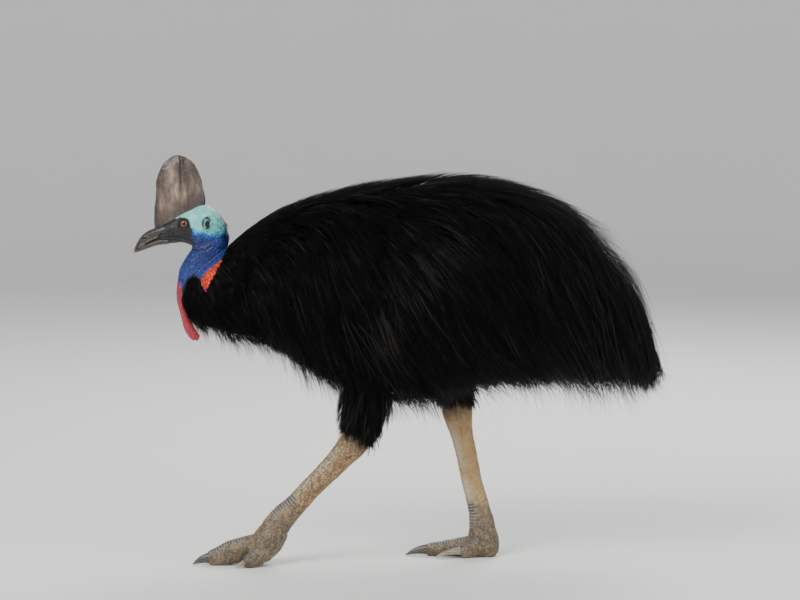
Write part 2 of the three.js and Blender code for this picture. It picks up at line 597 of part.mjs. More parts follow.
// The side of the jaw line on which the head lies, for offset millimetres above it.
function headSpace(offset) {
  const [a, b] = [JAW.front, JAW.back];
  const normal = point(a[1] - b[1], 0, b[0] - a[0]).normalize();
  const way = point(b[0] - a[0], 0, b[1] - a[1]).normalize();
  const at = (along_, up) => {
    const p = point(a[0], 0, a[1]).addScaledVector(way, along_).addScaledVector(normal, up);
    return [p.x, p.z];
  };
  return slab([at(-600, offset), at(600, offset), at(600, 600), at(-600, 600)], -300, 300);
}

function casqueForm(grow = 0) {
  const rings = CASQUE_SLICES.map(([f, r, half], i) => {
    const [front, rear] = [point(f[0], 0, f[1]), point(r[0], 0, r[1])];
    const axis = rear.clone().sub(front);
    const high = i / (CASQUE_SLICES.length - 1);
    const profile = (u) => 0.1 + 0.9 * Math.sin(Math.PI * u ** 1.25) ** 0.75;
    const fold = (u) => smoothstep(u, 0.5, 0.6) * smoothstep(high, 0.1, 0.45) * CASQUE_FOLD;
    const edge = (sign) => CASQUE_SHARES.slice(1, -1).map((u, n) => {
      const out = half * profile(u) + fold(u) * (n % 2 ? 1 : -1);
      return front.clone().addScaledVector(axis, u).add(point(0, sign * out, 0));
    });
    const ring = [front.clone(), ...edge(-1), rear.clone(), ...edge(1).reverse()];
    const center = front.clone().lerp(rear, 0.5);
    ring.forEach((p) => p.addScaledVector(p.clone().sub(center).normalize(), grow));
    return ring;
  });
  return shape([...rings, [point(CASQUE_TOP[0], 0, CASQUE_TOP[1] + grow)]]);
}

const eyeForm = (side, grow = 0) =>
  ball(EYE.x, side * EYE.y, EYE.z, EYE.radius + grow, EYE.deep + grow, EYE.radius + grow, 11, 7);
const earForm = (side, grow = 0) =>
  ball(EAR.x, side * EAR.y, EAR.z, EAR.across + grow, EAR.deep + grow, EAR.high + grow, 10, 6);
function earCup(side) {
  const { rear, across, high, deep } = EAR_HOLE;
  return cut(earForm(side), ball(EAR.x + rear, side * (EAR.y - EAR.deep), EAR.z, across, deep, high, 8, 6));
}
function lid(side) {
  const ring = new THREE.TorusGeometry(LID.radius, LID.thick, 4, 11).rotateX(Math.PI / 2);
  return solid(ring.rotateZ(side * 0.14).translate(EYE.x, -side * LID.out, EYE.z));
}
// A bead of skin, or a groove, along the mouth, dz above its line.
function mouthLine(side, radius, dz, inward) {
  const stations = MOUTH.map(([x, z]) => {
    const y = sideOf(HEAD_SECTIONS, x, z + dz) - inward;
    return [x, -side * y, z + dz, radius, radius];
  });
  return limb(stations, { sides: 4, front: UP });
}
function nostril(side) {
  const [x, z] = NOSTRIL.at;
  const slot = new THREE.SphereGeometry(1, 7, 4).scale(NOSTRIL.long, NOSTRIL.deep, NOSTRIL.high);
  return solid(slot.rotateY(NOSTRIL.rise).translate(x, -side * sideOf(BILL_UPPER, x, z), z));
}

function wattleForm(side, grow = 0) {
  const ahead = side < 0 ? FAR_WATTLE_AHEAD : 0;
  const stations = WATTLE.map(([x, y, z, a, b]) => [x - ahead, side * y, z, a, b]);
  return limb(stations, { sides: 8 }, grow);
}
function wattle(side) {
  const ahead = side < 0 ? FAR_WATTLE_AHEAD : 0;
  const bulbs = WATTLE_BULBS.map(([x, z, r], i) => {
    const y = -side * (14.5 + (i % 2 ? -2.5 : 2.5));
    return ball(x - ahead, y, z, r, r, r, 6, 4);
  });
  return fuse([wattleForm(side), ...bulbs]);
}

// The warty skin at the nape, between the neck and the plumage
const napeRear = COLLAR_EDGE.slice(1, 5).map(([x, z]) => [x - GAP, z]);
function nape(side) {
  const span = side > 0 ? [-120, -GAP / 2] : [GAP / 2, 120];
  const bulbs = NAPE_BULBS.map(([x, z, r]) => {
    const p = onFlank(x, z, 0.85, 0.15);
    return ball(x, side * p.y, z, r, r * 0.9, r, 6, 4);
  });
  const patch = fuse([core(0, 0.16, { lift: 0.85 }), ...bulbs]);
  return cut(patch.intersect(slab([...NAPE_FRONT, ...napeRear], ...span)), neckForm(GAP));
}

// Wings
function wingForm(side, grow = 0) {
  const place = ([s, turn, lift]) => bodyPoint(s, side * turn, lift);
  const arm = [0, 0.5, 1].map((t) => {
    const p = place([0, 1, 2].map((n) => mix(WING_ARM.from[n], WING_ARM.to[n], t)));
    return [p.x, p.y, p.z, WING_ARM.across * (1 - 0.3 * Math.abs(2 * t - 1)), WING_ARM.thick];
  });
  const out = point(0, -side, 0.1).normalize();
  const quills = QUILLS.map((quill) => {
    const stations = quill.map((at, i) => {
      const p = place(at);
      const half = QUILL_HALF * (1 - (0.62 * i) / (quill.length - 1));
      return [p.x, p.y, p.z, half, half];
    });
    return limb(stations, { sides: 3, front: out, round: 1 }, grow);
  });
  return fuse([limb(arm, { sides: 6, front: out }, grow), ...quills]);
}

// Legs
function toe(stations, grow = 0) {
  const { pitch, ...plates } = TOE_SCUTES;
  plates.count = Math.round((curveOf(stations).getLength() * (plates.to - plates.from)) / pitch);
  return limb(stations, { sides: 8, front: UP, floor: GROUND, plates }, grow);
}
const shankForm = (leg, grow = 0) => limb(leg.shank, { sides: 10, plates: SHANK_SCUTES }, grow);
const padForm = (leg, grow = 0) => limb(leg.pad, { sides: 10, floor: GROUND }, grow);
const thighForm = (leg, grow = 0) => limb(leg.thigh, { sides: 10 }, grow);
const thighSpace = (leg) => limb(leg.thigh, { sides: 10 }, GAP + 2.5);

function thighLocks(leg, grow = 0) {
  const long = curveOf(leg.thigh).getLength();
  const roll = seeded(SEED + leg.rows.length);
  return leg.rows.flatMap((t, row) => {
    const frame = limbFrame(leg.thigh, FORWARD, t);
    const count = Math.round((Math.PI * (frame.across + frame.deep - THIGH_COAT)) / leg.lockWidth);
    return Array.from({ length: count }, (_, j) => {
      const angle = (2 * Math.PI * (j + (row % 2 ? 0.5 : 0) + 0.15 * roll())) / count;
      const length = leg.lockLength * mix(0.88, 1.12, roll());
      const places = LOCK_STATIONS.map((share) => {
        const out = THIGH_COAT * (rise(share, 0.4, 0.8) - 1);
        return limbPlace(leg.thigh, FORWARD, t + (share * length) / long, angle, out);
      });
      return blade(places, leg.lockWidth, 5, grow);
    });
  });
}

// Nodes of the legs
for (const [name, leg] of Object.entries(LEGS)) {
  const pad = padForm(leg, GAP);
  const shank = shankForm(leg, GAP);
  const middle = toe(leg.middle, GAP);
  const toeOf = (stations, ...others) => cut(toe(stations), pad, shank, ...others);
  const thigh = fuse([thighForm(leg, -THIGH_COAT * 0.9), ...thighLocks(leg)]);
  addNode(`thigh_${name}`, cut(thigh, shank, core(TORSO_FROM, TORSO_TO, { grow: GAP })), PLUMAGE);
  addNode(`shank_${name}`, shankForm(leg), LEG_SCALES);
  addNode(`foot_${name}`, cut(padForm(leg), shank), FOOT_SCALES);
  addNode(`toe_middle_${name}`, toeOf(leg.middle), FOOT_SCALES);
  addNode(`toe_inner_${name}`, toeOf(leg.inner, middle), FOOT_SCALES);
  addNode(`toe_outer_${name}`, toeOf(leg.outer, middle), FOOT_SCALES);
  addNode(`claw_middle_${name}`, cut(claw(...leg.middleClaw), middle), CLAW_HORN);
  addNode(`claw_inner_${name}`, cut(claw(...leg.innerClaw), toe(leg.inner, GAP), middle), SPUR_HORN);
  addNode(`claw_outer_${name}`, cut(claw(...leg.outerClaw), toe(leg.outer, GAP), middle), CLAW_HORN);
}

// Nodes of the head and neck
const both = (form) => Object.values(SIDES).map((side) => form(side));
const skin = skinForm();
const headGrown = skinForm(GAP).intersect(headSpace(-GAP));
const lips = both((side) => mouthLine(side, LIP.thick, -LIP.below, LIP.sunk));
const lipsGrown = both((side) => mouthLine(side, LIP.thick + GAP, -LIP.below, LIP.sunk));
const lids = both(lid);
const eyeHoles = both((side) => eyeForm(side, GAP));
const headBody = fuse([skin.intersect(headSpace(GAP / 2)), ...lips, ...lids]);
const earHoles = both((side) => earForm(side, GAP));
const mouthLines = both((side) => mouthLine(side, 1.5, 0, -0.4));
addNode('head', cut(headBody, ...eyeHoles, ...earHoles, ...mouthLines), TURQUOISE_SKIN);
addNode('neck', cut(skin, headSpace(-GAP / 2), ...both((side) => wattleForm(side, GAP))), BLUE_SKIN);
addNode('bill_upper', cut(lengthwise(BILL_UPPER, 10), headGrown, ...both(nostril), ...lipsGrown), BILL_HORN);
const billUpperGrown = lengthwise(BILL_UPPER, 10, GAP);
addNode('bill_lower', cut(lengthwise(BILL_LOWER, 10), headGrown, billUpperGrown, ...lipsGrown), BILL_HORN);
addNode('casque', cut(casqueForm(), headGrown, billUpperGrown), CASQUE_HORN);
for (const [name, side] of Object.entries(SIDES)) {
  addNode(`nape_${name}`, nape(side), ORANGE_SKIN);
  addNode(`eye_${name}`, eyeForm(side), IRIS);
  addNode(`ear_${name}`, earCup(side), EAR_SKIN);
  addNode(`wattle_${name}`, wattle(side), RED_SKIN);
  addNode(`wing_${name}`, cut(wingForm(side), core(TORSO_FROM, TORSO_TO, { grow: GAP })), QUILL);
}

// Nodes of the plumage. Each node's locks lie over the next one's core, which is cut clear of them.
const above = [[-720, 640], [-720, 860], [-422, 860]];
const bare = slab([...COLLAR_EDGE, ...above], -200, 200);
const neckSpace = [bare, neckForm(GAP), ...both((side) => wattleForm(side, GAP + 4))];
const neckCore = core(0, TORSO_FROM);
const torsoCore = core(TORSO_FROM, TORSO_TO, { shift: GAP });
const tailCore = core(TORSO_TO, CORE_TO, { shift: GAP });
const neckPlumage = fuse([neckCore, ...locksOf(0, TORSO_FROM)]);
addNode('neck_plumage', cut(neckPlumage, core(TORSO_FROM, TORSO_TO, { grow: GAP }), ...neckSpace), PLUMAGE);
const limbs = [...Object.values(LEGS).map(thighSpace), ...both((side) => wingForm(side, GAP))];
const neckLocks = fuse(locksOf(0.05, TORSO_FROM, GAP));
const torsoCoat = cut(fuse(locksOf(TORSO_FROM, TORSO_TO)), ...limbs);
const torso = fuse([torsoCore, torsoCoat]);
addNode('torso', cut(torso, core(TORSO_TO, CORE_TO, { grow: GAP }), neckLocks), PLUMAGE);
const torsoLocks = fuse(locksOf(TORSO_TO - 0.2, TORSO_TO, GAP));
addNode('tail', cut(fuse([tailCore, ...locksOf(TORSO_TO, 1)]), torsoLocks), PLUMAGE);

// The bird, with its origin in the middle of its box, on the floor
const boxes = nodes.map(({ body }) => body.boundingBox());
const middleOf = (axis) =>
  (Math.min(...boxes.map((box) => box.min[axis])) + Math.max(...boxes.map((box) => box.max[axis]))) / 2;
const bird = new THREE.Group();
for (const { name, body, material } of nodes) {
  const placed = whole(body.translate([-middleOf(0), -middleOf(1), -GROUND]));
  const mesh = new THREE.Mesh(geometryOf(placed), material);
  mesh.name = name;
  bird.add(mesh);
}

export default bird;
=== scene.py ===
"""A southern cassowary as a life-size museum model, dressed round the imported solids.

Sizes of the animal are in millimetres, as the bird stands; the scene is in metres.
"""
import json
import math

import bpy
import numpy as np
from mathutils import Euler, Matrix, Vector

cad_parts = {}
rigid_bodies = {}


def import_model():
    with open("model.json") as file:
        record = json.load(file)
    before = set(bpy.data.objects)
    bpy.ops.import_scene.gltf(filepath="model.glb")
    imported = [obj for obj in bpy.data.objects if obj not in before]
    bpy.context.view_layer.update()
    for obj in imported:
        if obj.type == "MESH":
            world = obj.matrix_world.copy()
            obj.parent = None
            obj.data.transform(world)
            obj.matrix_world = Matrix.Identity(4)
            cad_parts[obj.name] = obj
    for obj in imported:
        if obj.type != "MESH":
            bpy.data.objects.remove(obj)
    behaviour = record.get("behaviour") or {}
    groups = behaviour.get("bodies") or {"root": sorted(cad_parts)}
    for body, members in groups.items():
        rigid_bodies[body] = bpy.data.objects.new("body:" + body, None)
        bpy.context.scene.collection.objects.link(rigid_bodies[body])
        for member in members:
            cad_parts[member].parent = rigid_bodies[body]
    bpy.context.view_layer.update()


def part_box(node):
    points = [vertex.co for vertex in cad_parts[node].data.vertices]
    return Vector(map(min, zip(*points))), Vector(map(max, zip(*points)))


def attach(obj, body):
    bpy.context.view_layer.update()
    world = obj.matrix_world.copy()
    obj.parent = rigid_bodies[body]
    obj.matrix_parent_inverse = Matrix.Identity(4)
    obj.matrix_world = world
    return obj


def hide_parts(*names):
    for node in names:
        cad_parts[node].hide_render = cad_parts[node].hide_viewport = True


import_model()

bl_info = {
    "name": "Cassowary museum model",
    "version": (1, 0, 0),
    "blender": (4, 5, 0),
    "location": "View3D > Sidebar > Cassowary",
    "description": "Dresses the packed cassowary with skin, plumage, horn and scales",
    "category": "Object",
}

MM = 0.001
SEED = 7
UP = np.array([0.0, 0.0, 1.0])
FORWARD = np.array([-1.0, 0.0, 0.0])
ACROSS = np.array([0.0, 1.0, 0.0])
SIDES = {"left": 1, "right": -1}
FAR_AWAY = 1e9

# The measures below are in millimetres, with the floor at GROUND. SHIFT takes them to the frame, by the
# packed eyes.
GROUND = 7
EYE = {"x": -531, "y": -30, "z": 853, "radius": 11.6, "deep": 8}
EYE_BOXES = [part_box("eye_left"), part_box("eye_right")]
SHIFT = np.array([
    sum(low.x + high.x for low, high in EYE_BOXES) / 4 - EYE["x"] * MM,
    sum(low.y + high.y for low, high in EYE_BOXES) / 4,
    -GROUND * MM,
])

# Ribs of the plumage: slanted ovals from the neck's collar to the tail's skirt. s runs through them from 0
# to 1, turn round them from the back, and lift from the skin (0) to the plumage's outside (1).
RIBS = {
    "collar": {"top": (-425, 792), "bottom": (-531, 716), "half": 40, "coat": 9},
    "throat": {"top": (-403, 812), "bottom": (-543, 652), "half": 58, "coat": 13},
    "neck": {"top": (-362, 846), "bottom": (-527, 600), "half": 82, "coat": 20},
    "breast": {"top": (-290, 891), "bottom": (-440, 556), "half": 124, "coat": 28},
    "mantle": {"top": (-190, 929), "bottom": (-320, 522), "half": 176, "coat": 36},
    "shoulder": {"top": (-75, 955), "bottom": (-190, 452), "half": 218, "coat": 40},
    "back": {"top": (50, 971), "bottom": (-60, 396), "half": 242, "coat": 42},
    "saddle": {"top": (170, 979), "bottom": (90, 388), "half": 250, "coat": 44},
    "hip": {"top": (290, 959), "bottom": (225, 424), "half": 242, "coat": 46},
    "croup": {"top": (400, 916), "bottom": (355, 432), "half": 222, "coat": 48},
    "rump": {"top": (500, 842), "bottom": (470, 432), "half": 192, "coat": 50},
    "tail": {"top": (585, 728), "bottom": (560, 428), "half": 146, "coat": 50},
    "skirt": {"top": (656, 524), "bottom": (636, 436), "half": 58, "coat": 36},
}
WIDEST_BELOW = 0.16
SIDE_FULLNESS = 0.86
LIE_STEEPEST = 1.0
HANGS_FROM = 2.25
SKIN_TO = 0.985
BODY_VOXEL = 0.006

# Head and bare neck: sections along the head are (x, top z, bottom z, half width), those down the neck
# are ((front x, z), (back x, z), half width)
HEAD_SECTIONS = [
    (-603, 838, 806, 13), (-594, 845, 802, 19), (-578, 856, 801, 24.5), (-558, 870, 803, 29),
    (-536, 884, 804, 34), (-514, 892, 797, 37.5), (-492, 899, 785, 39), (-470, 895, 780, 38),
    (-450, 878, 787, 33.5), (-434, 857, 799, 25.5), (-426, 840, 812, 16),
]
NECK_SECTIONS = [
    ((-515, 800), (-428, 836), 33), ((-514, 791), (-421, 822), 34), ((-520, 781), (-422, 806), 34),
    ((-531, 765), (-427, 788), 33.5), ((-541, 748), (-434, 770), 33), ((-547, 730), (-446, 750), 32.5),
    ((-550.5, 708), (-457, 728), 32), ((-552, 686), (-470, 702), 28), ((-551, 665), (-490, 678), 21),
    ((-548, 649), (-510, 657), 13),
]
MOUTH = [(-609, 812), (-600, 813), (-572, 820), (-541, 820.5), (-515, 813.5)]
JAW_FOLD = [(-530, 801), (-513, 790), (-494, 785), (-475, 789), (-463, 797)]
CROWN_EDGE = [(-530, 844), (-512, 832), (-493, 825), (-459, 819), (-440, 820), (-426, 832)]
NECK_FOLDS_APART = 7.5
EAR = {"x": -475, "z": 855, "across": 11.4, "high": 15.8, "tilt": -0.16}
EAR_HOLE = {"x": 2.4, "z": -1.5, "across": 5.6, "high": 8.2}
# The dark lores reach down under the jaw, where their near black is partly dark skin and partly painted
# shadow under the jaw.
LORES = [
    (-640, 852), (-609, 852), (-585, 863), (-566, 867), (-552, 866), (-540, 869), (-519, 864),
    (-514, 846), (-510, 830), (-515, 818), (-505, 806), (-507, 795), (-522, 783), (-545, 785),
    (-640, 780),
]
COLLAR_EDGE = [
    (-422, 800), (-438, 768), (-460, 728), (-471, 707), (-478, 684), (-483, 689), (-487, 704),
    (-488, 716), (-508, 728), (-524, 718), (-533, 701), (-538.5, 682), (-539.5, 640),
]
BARE = [*COLLAR_EDGE, (-720, 640), (-720, 1100), (-422, 1100)]
NAPE = [
    (-479, 690), (-487, 704), (-487, 717), (-478, 732), (-462, 747), (-447, 757), (-436, 766),
    (-432, 770), (-456, 722), (-468, 700), (-474, 684),
]
WATTLE = [
    (-541, -11, 738, 3.5, 5), (-543.5, -14, 700, 4.5, 5.5), (-542, -14.5, 665, 4.5, 6),
    (-536, -14.5, 640, 5, 7), (-527, -14.5, 611, 5.5, 9), (-517, -14.5, 586, 6, 11.5),
    (-504, -14.5, 566, 5, 11),
]
FAR_WATTLE_AHEAD = 7
WATTLE_LOBES = 26
NAPE_BULBS = 46

# Bristles of the head: how many, and the stations of each as (share of its length, sag)
BRISTLES = 1500
BRISTLE_STATIONS = [(0, 0.0), (0.4, 0.02), (0.75, 0.08), (1.0, 0.18)]

# Casque: slanted slices (front, rear, half width), its top, and the folds behind its middle as (place
# across, share of the height where it starts, depth)
CASQUE_SLICES = [
    ((-606, 832), (-482, 886), 23), ((-608, 856), (-479.5, 911), 20), ((-607, 885), (-482, 928), 17),
    ((-604, 922), (-487, 948), 15), ((-601, 957), (-492, 966), 14), ((-592, 986), (-500, 985), 12.5),
    ((-578, 1008), (-512, 1006), 9.5), ((-562, 1018.5), (-526, 1017), 5.5),
]
CASQUE_TOP = (-545, 1022.5)
CASQUE_REAR_FOLDS = ((0.645, 0.42, 0.9), (0.71, 0.25, 0.6), (0.775, 0.5, 0.9), (0.84, 0.3, 0.5))

# Bill: sections like the head's
BILL_UPPER = [
    (-661, 779, 775.5, 1.2), (-657, 792, 782, 4), (-650, 805, 789, 6.5), (-640, 820, 796, 9.5),
    (-625, 832, 803.5, 13), (-608, 840, 811, 17), (-590, 848, 817, 20.5), (-572, 856, 820, 22),
]
BILL_LOWER = [
    (-656, 785.5, 778.5, 2.2), (-648, 790.5, 781, 5.6), (-636, 797.5, 785, 8.6), (-620, 806, 790.5, 12),
    (-604, 812.5, 796, 15.5), (-588, 818, 798.5, 18.8), (-572, 820, 800, 21),
]
NOSTRIL = {"x": -633, "z": 815, "long": 6.5, "high": 1.7, "rise": 0.6}

# Wing quills as (s, turn, lift) on the body
QUILLS = [
    ((0.416, 1.62, 0.08), (0.434, 1.79, 1.28), (0.448, 1.96, 1.26), (0.461, 2.18, 1.12)),
    ((0.419, 1.63, 0.08), (0.446, 1.8, 1.28), (0.468, 1.98, 1.26), (0.488, 2.24, 1.12)),
    ((0.422, 1.63, 0.08), (0.458, 1.79, 1.28), (0.487, 1.97, 1.26), (0.512, 2.28, 1.12)),
    ((0.424, 1.62, 0.08), (0.469, 1.75, 1.28), (0.505, 1.9, 1.26), (0.536, 2.16, 1.12)),
]
QUILLS_LIE = 1.04

# Legs: (x, y, z, half across, half front to back) from the top down and along each toe; a claw is its bed,
# its point, half its depth and the rise of its back
LEGS = {
    "left": {
        "calm": 0.0,
        "thigh": [
            (-62, -98, 560, 58, 70), (-74, -97, 480, 55, 66), (-82, -96, 415, 49, 60),
            (-91, -95, 360, 43, 52), (-98, -95, 328, 36, 43),
        ],
        "shank": [
            (-94, -95, 338, 29, 35), (-109, -95, 315, 29, 37), (-143, -95, 275, 23, 30.5),
            (-182, -95, 234, 21, 27.5), (-216, -94, 200, 20.5, 26.5), (-252, -94, 160, 21.5, 27),
            (-283, -94, 129, 25, 31), (-307, -94, 99, 28, 34),
        ],
        "pad": [(-306, -94, 94, 30, 36), (-325, -94, 65, 34, 39), (-341, -94, 42, 33, 33)],
        "middle": [
            (-334, -94, 60, 22, 31), (-372, -94, 53, 21, 28), (-410, -94, 40, 20, 30),
            (-442, -95, 29, 17.5, 25.5), (-464, -95, 24, 15, 20.5),
        ],
        "inner": [
            (-330, -82, 54, 20, 26), (-352, -68, 32, 19, 23), (-366, -60, 25, 17, 21),
            (-378, -53, 21.5, 14.5, 17.5),
        ],
        "outer": [
            (-328, -108, 52, 20, 26), (-348, -119, 32, 19, 23), (-362, -126, 25, 17, 21),
            (-374, -132, 21.5, 14.5, 17.5),
        ],
        "claws": {
            "middle": ((-462, -95, 24), (-511, -96, 8.5), 15.5, 5),
            "inner": ((-374, -54, 23), (-454, -30, 12), 12, 5),
            "outer": ((-368, -129, 21), (-400, -146, 8.5), 10.5, 4),
        },
    },
    "right": {
        "calm": 0.7,
        "thigh": [
            (112, 84, 560, 56, 66), (126, 72, 490, 52, 60), (140, 54, 430, 46, 52),
            (147, 44, 398, 40, 44),
        ],
        "shank": [
            (148, 42, 400, 31, 36), (150, 40, 372, 31, 38), (160, 37, 322, 24, 29),
            (171, 36, 275, 21, 26.5), (187, 35, 196, 20, 26), (205, 34, 128, 22, 27.5),
            (212, 34, 92, 27, 32), (214, 34, 66, 29, 34),
        ],
        "pad": [(214, 34, 68, 31, 36), (216, 34, 46, 36, 40), (217, 34, 24, 35, 39)],
        "middle": [
            (206, 34, 38, 23, 25), (160, 34, 29, 21, 25), (115, 34, 24.5, 19, 20.5),
            (80, 34, 22, 15, 17.5),
        ],
        "inner": [(206, 22, 36, 20, 25), (184, 11, 26, 18, 22), (164, 2, 22.5, 15, 18)],
        "outer": [(206, 47, 36, 20, 25), (176, 64, 26, 18, 22), (148, 78, 22, 15, 17.5)],
        "claws": {
            "middle": ((82, 34, 22.5), (18, 34, 8.5), 14.5, 5),
            "inner": ((170, 4, 24), (92, -16, 12), 12, 5),
            "outer": ((150, 78, 21.5), (112, 96, 8.5), 10.5, 4),
        },
    },
}


# Settings that a user would change

COLOR = {"subtype": "COLOR", "size": 3, "min": 0, "max": 1}
LENGTH = {"subtype": "DISTANCE", "unit": "LENGTH"}


class CassowaryPlumage(bpy.types.PropertyGroup):
    plumes: bpy.props.IntProperty(
        name="Plumes", description="Number of lax plumes on the body", default=5800, min=200)
    hairs: bpy.props.IntProperty(
        name="Hairs per plume", description="Hair-like vanes in each plume", default=10, min=3)
    length: bpy.props.FloatProperty(
        name="Length", description="Length of the longest plumes", default=0.2, **LENGTH)
    hair_width: bpy.props.FloatProperty(
        name="Hair width", description="Width of one hair at its middle", default=0.0013, **LENGTH)
    dark: bpy.props.FloatVectorProperty(
        name="Dark hairs", description="Colour of the darkest hairs",
        default=(0.0036, 0.0036, 0.0041), **COLOR)
    pale: bpy.props.FloatVectorProperty(
        name="Pale hairs", description="Colour of the hairs that catch the light",
        default=(0.058, 0.053, 0.049), **COLOR)


class CassowarySkin(bpy.types.PropertyGroup):
    voxel: bpy.props.FloatProperty(
        name="Grain", description="Size of the skin's faces on head and neck", default=0.00156, **LENGTH)
    crown: bpy.props.FloatVectorProperty(
        name="Crown", description="Pale turquoise of the crown and cheek",
        default=(0.13, 0.5, 0.45), **COLOR)
    throat: bpy.props.FloatVectorProperty(
        name="Throat", description="Deep blue of the throat and neck", default=(0.018, 0.026, 0.21), **COLOR)
    nape: bpy.props.FloatVectorProperty(
        name="Nape", description="Orange red of the warty nape", default=(0.74, 0.055, 0.002), **COLOR)
    wattle: bpy.props.FloatVectorProperty(
        name="Wattles", description="Coral red of the wattles", default=(0.33, 0.021, 0.038), **COLOR)


class CassowaryHorn(bpy.types.PropertyGroup):
    casque: bpy.props.FloatVectorProperty(
        name="Casque", description="Grey brown of the casque", default=(0.086, 0.055, 0.039), **COLOR)
    bill: bpy.props.FloatVectorProperty(
        name="Bill", description="Dark grey of the bill", default=(0.015, 0.014, 0.013), **COLOR)
    iris: bpy.props.FloatVectorProperty(
        name="Iris", description="Amber brown of the eyes", default=(0.19, 0.06, 0.018), **COLOR)


class CassowaryLegs(bpy.types.PropertyGroup):
    voxel: bpy.props.FloatProperty(
        name="Grain", description="Size of the skin's faces on the legs", default=0.0016, **LENGTH)
    tan: bpy.props.FloatVectorProperty(
        name="Shank", description="Golden tan of the shanks", default=(0.36, 0.24, 0.105), **COLOR)
    grey: bpy.props.FloatVectorProperty(
        name="Foot", description="Grey brown of the feet", default=(0.122, 0.096, 0.064), **COLOR)


class CassowaryStage(bpy.types.PropertyGroup):
    floor: bpy.props.FloatVectorProperty(
        name="Floor", description="Colour of the floor and backdrop", default=(0.86, 0.845, 0.82), **COLOR)
    lens: bpy.props.FloatProperty(
        name="Lens", description="Focal length of the camera in millimetres", default=126.54)
    key: bpy.props.FloatProperty(
        name="Key light", description="Power of the key light in watts", default=370.0)


# Curves and places on the animal

class Line:
    """A smooth curve through points of any dimension, walked from 0 to 1."""

    def __init__(self, points):
        p = np.asarray(points, float)
        ends = np.vstack([2 * p[0] - p[1], p, 2 * p[-1] - p[-2]])
        gap = np.maximum(np.linalg.norm(np.diff(ends, axis=0), axis=1), 1e-6) ** 0.5
        a, b, c, d = ends[:-3], ends[1:-2], ends[2:-1], ends[3:]
        u, v, w = (gap[i:len(gap) - 2 + i, None] for i in range(3))
        start = ((b - a) / u - (c - a) / (u + v) + (c - b) / v) * v
        end = ((c - b) / v - (d - b) / (v + w) + (d - c) / w) * v
        self.parts = (b, start, -3 * b + 3 * c - 2 * start - end, 2 * b - 2 * c + start + end)

    def at(self, t):
        t = np.asarray(t, float)
        whole = np.clip(t, 0, 1) * len(self.parts[0])
        i = np.minimum(whole.astype(int), len(self.parts[0]) - 1)
        f = (whole - i)[..., None]
        k = [part[i] for part in self.parts]
        return k[0] + f * (k[1] + f * (k[2] + f * k[3]))

    def way(self, t):
        step = 0.005
        d = self.at(np.minimum(t + step, 1)) - self.at(np.maximum(t - step, 0))
        return unit(d)

    def beyond(self, t):
        past = np.maximum(np.asarray(t, float) - 1, 0)[..., None]
        return self.at(t) + past * (self.at(1.0) - self.at(0.99)) / 0.01

    def length(self):
        return np.linalg.norm(np.diff(self.at(np.linspace(0, 1, 200)), axis=0), axis=1).sum()


def unit(v):
    return v / np.maximum(np.linalg.norm(v, axis=-1, keepdims=True), 1e-9)


def smooth(x, low, high):
    t = np.clip((np.asarray(x, float) - low) / (high - low), 0, 1)
    return t * t * (3 - 2 * t)


def mix(a, b, t):
    return a + (b - a) * t


def mixed(a, b, share):
    """A colour between two others."""
    return tuple(mix(np.array(a), np.array(b), share))


def hump(x, at, wide):
    """1 where x is at the given value, falling to 0 at both sides."""
    return np.exp(-((x - at) / wide) ** 2)


def circle(around):
    """Angles all round, one for each point of a ring."""
    return np.arange(around) * 2 * np.pi / around


def same(v, many):
    return np.repeat(v[None], many, 0)


def nearest(points, places):
    """For each point: the number of the nearest place, and how far away it is."""
    index = np.zeros(len(points), int)
    least = np.full(len(points), FAR_AWAY)
    for n, place in enumerate(places):
        away = np.linalg.norm(points - place, axis=1)
        index = np.where(away < least, n, index)
        least = np.minimum(least, away)
    return index, least


def placed(points):
    return np.asarray(points, float) * MM + SHIFT


RIBS_APART = 100
TOPS = Line([(rib["top"][0], 0, rib["top"][1]) for rib in RIBS.values()])
BOTTOMS = Line([(rib["bottom"][0], 0, rib["bottom"][1]) for rib in RIBS.values()])
WIDTHS = Line([(i * RIBS_APART, rib["half"], rib["coat"]) for i, rib in enumerate(RIBS.values())])


def body_point(s, turn, lift):
    """s runs from the collar to the skirt, turn from the back over the left flank, lift out of the skin."""
    top = TOPS.beyond(s)
    bottom = BOTTOMS.beyond(s)
    size = WIDTHS.at(s)
    inset = size[..., 2] * (1 - lift)
    up = (top - bottom) / 2
    c = np.cos(turn)
    high = np.maximum(np.linalg.norm(up, axis=-1), 1e-6)
    share = (c - WIDEST_BELOW * (1 - c * c)) * (1 - inset / high)
    sine = np.sin(turn)
    side = np.sign(sine) * np.abs(sine) ** SIDE_FULLNESS * (size[..., 1] - inset)
    found = (top + bottom) / 2 + up * share[..., None]
    found[..., 1] -= side
    return found


def body_frame(s, turn, lift):
    d = 0.004
    here = body_point(s, turn, lift)
    tailward = (body_point(s + d, turn, lift) - here) / d
    around = (body_point(s, turn + d, lift) - here) / d
    per_s = np.linalg.norm(tailward, axis=-1)
    per_turn = np.linalg.norm(around, axis=-1)
    tailward = unit(tailward)
    around = unit(around)
    return here, tailward, around, unit(np.cross(around, tailward)), per_s, per_turn


def lie(s, turn):
    steep = LIE_STEEPEST * smooth(s, -0.1, 0.4)
    return steep * np.abs(np.sin(turn)) ** 0.7 * np.sign(np.sin(turn))


# Small grain and patterns that belong to places on the animal

def hashed(cell, salt=0):
    """One repeatable number from 0 to 1 for each whole-numbered place."""
    k = np.asarray(cell).astype(np.int64)
    mixed = k[..., 0] * 374761393 + k[..., 1] * 668265263 + k[..., 2] * 2147483647 + salt * 974634777
    mixed = (mixed ^ (mixed >> 13)) * 1274126177
    mixed = mixed ^ (mixed >> 16)
    return (mixed & 0xFFFFFF) / float(0x1000000)


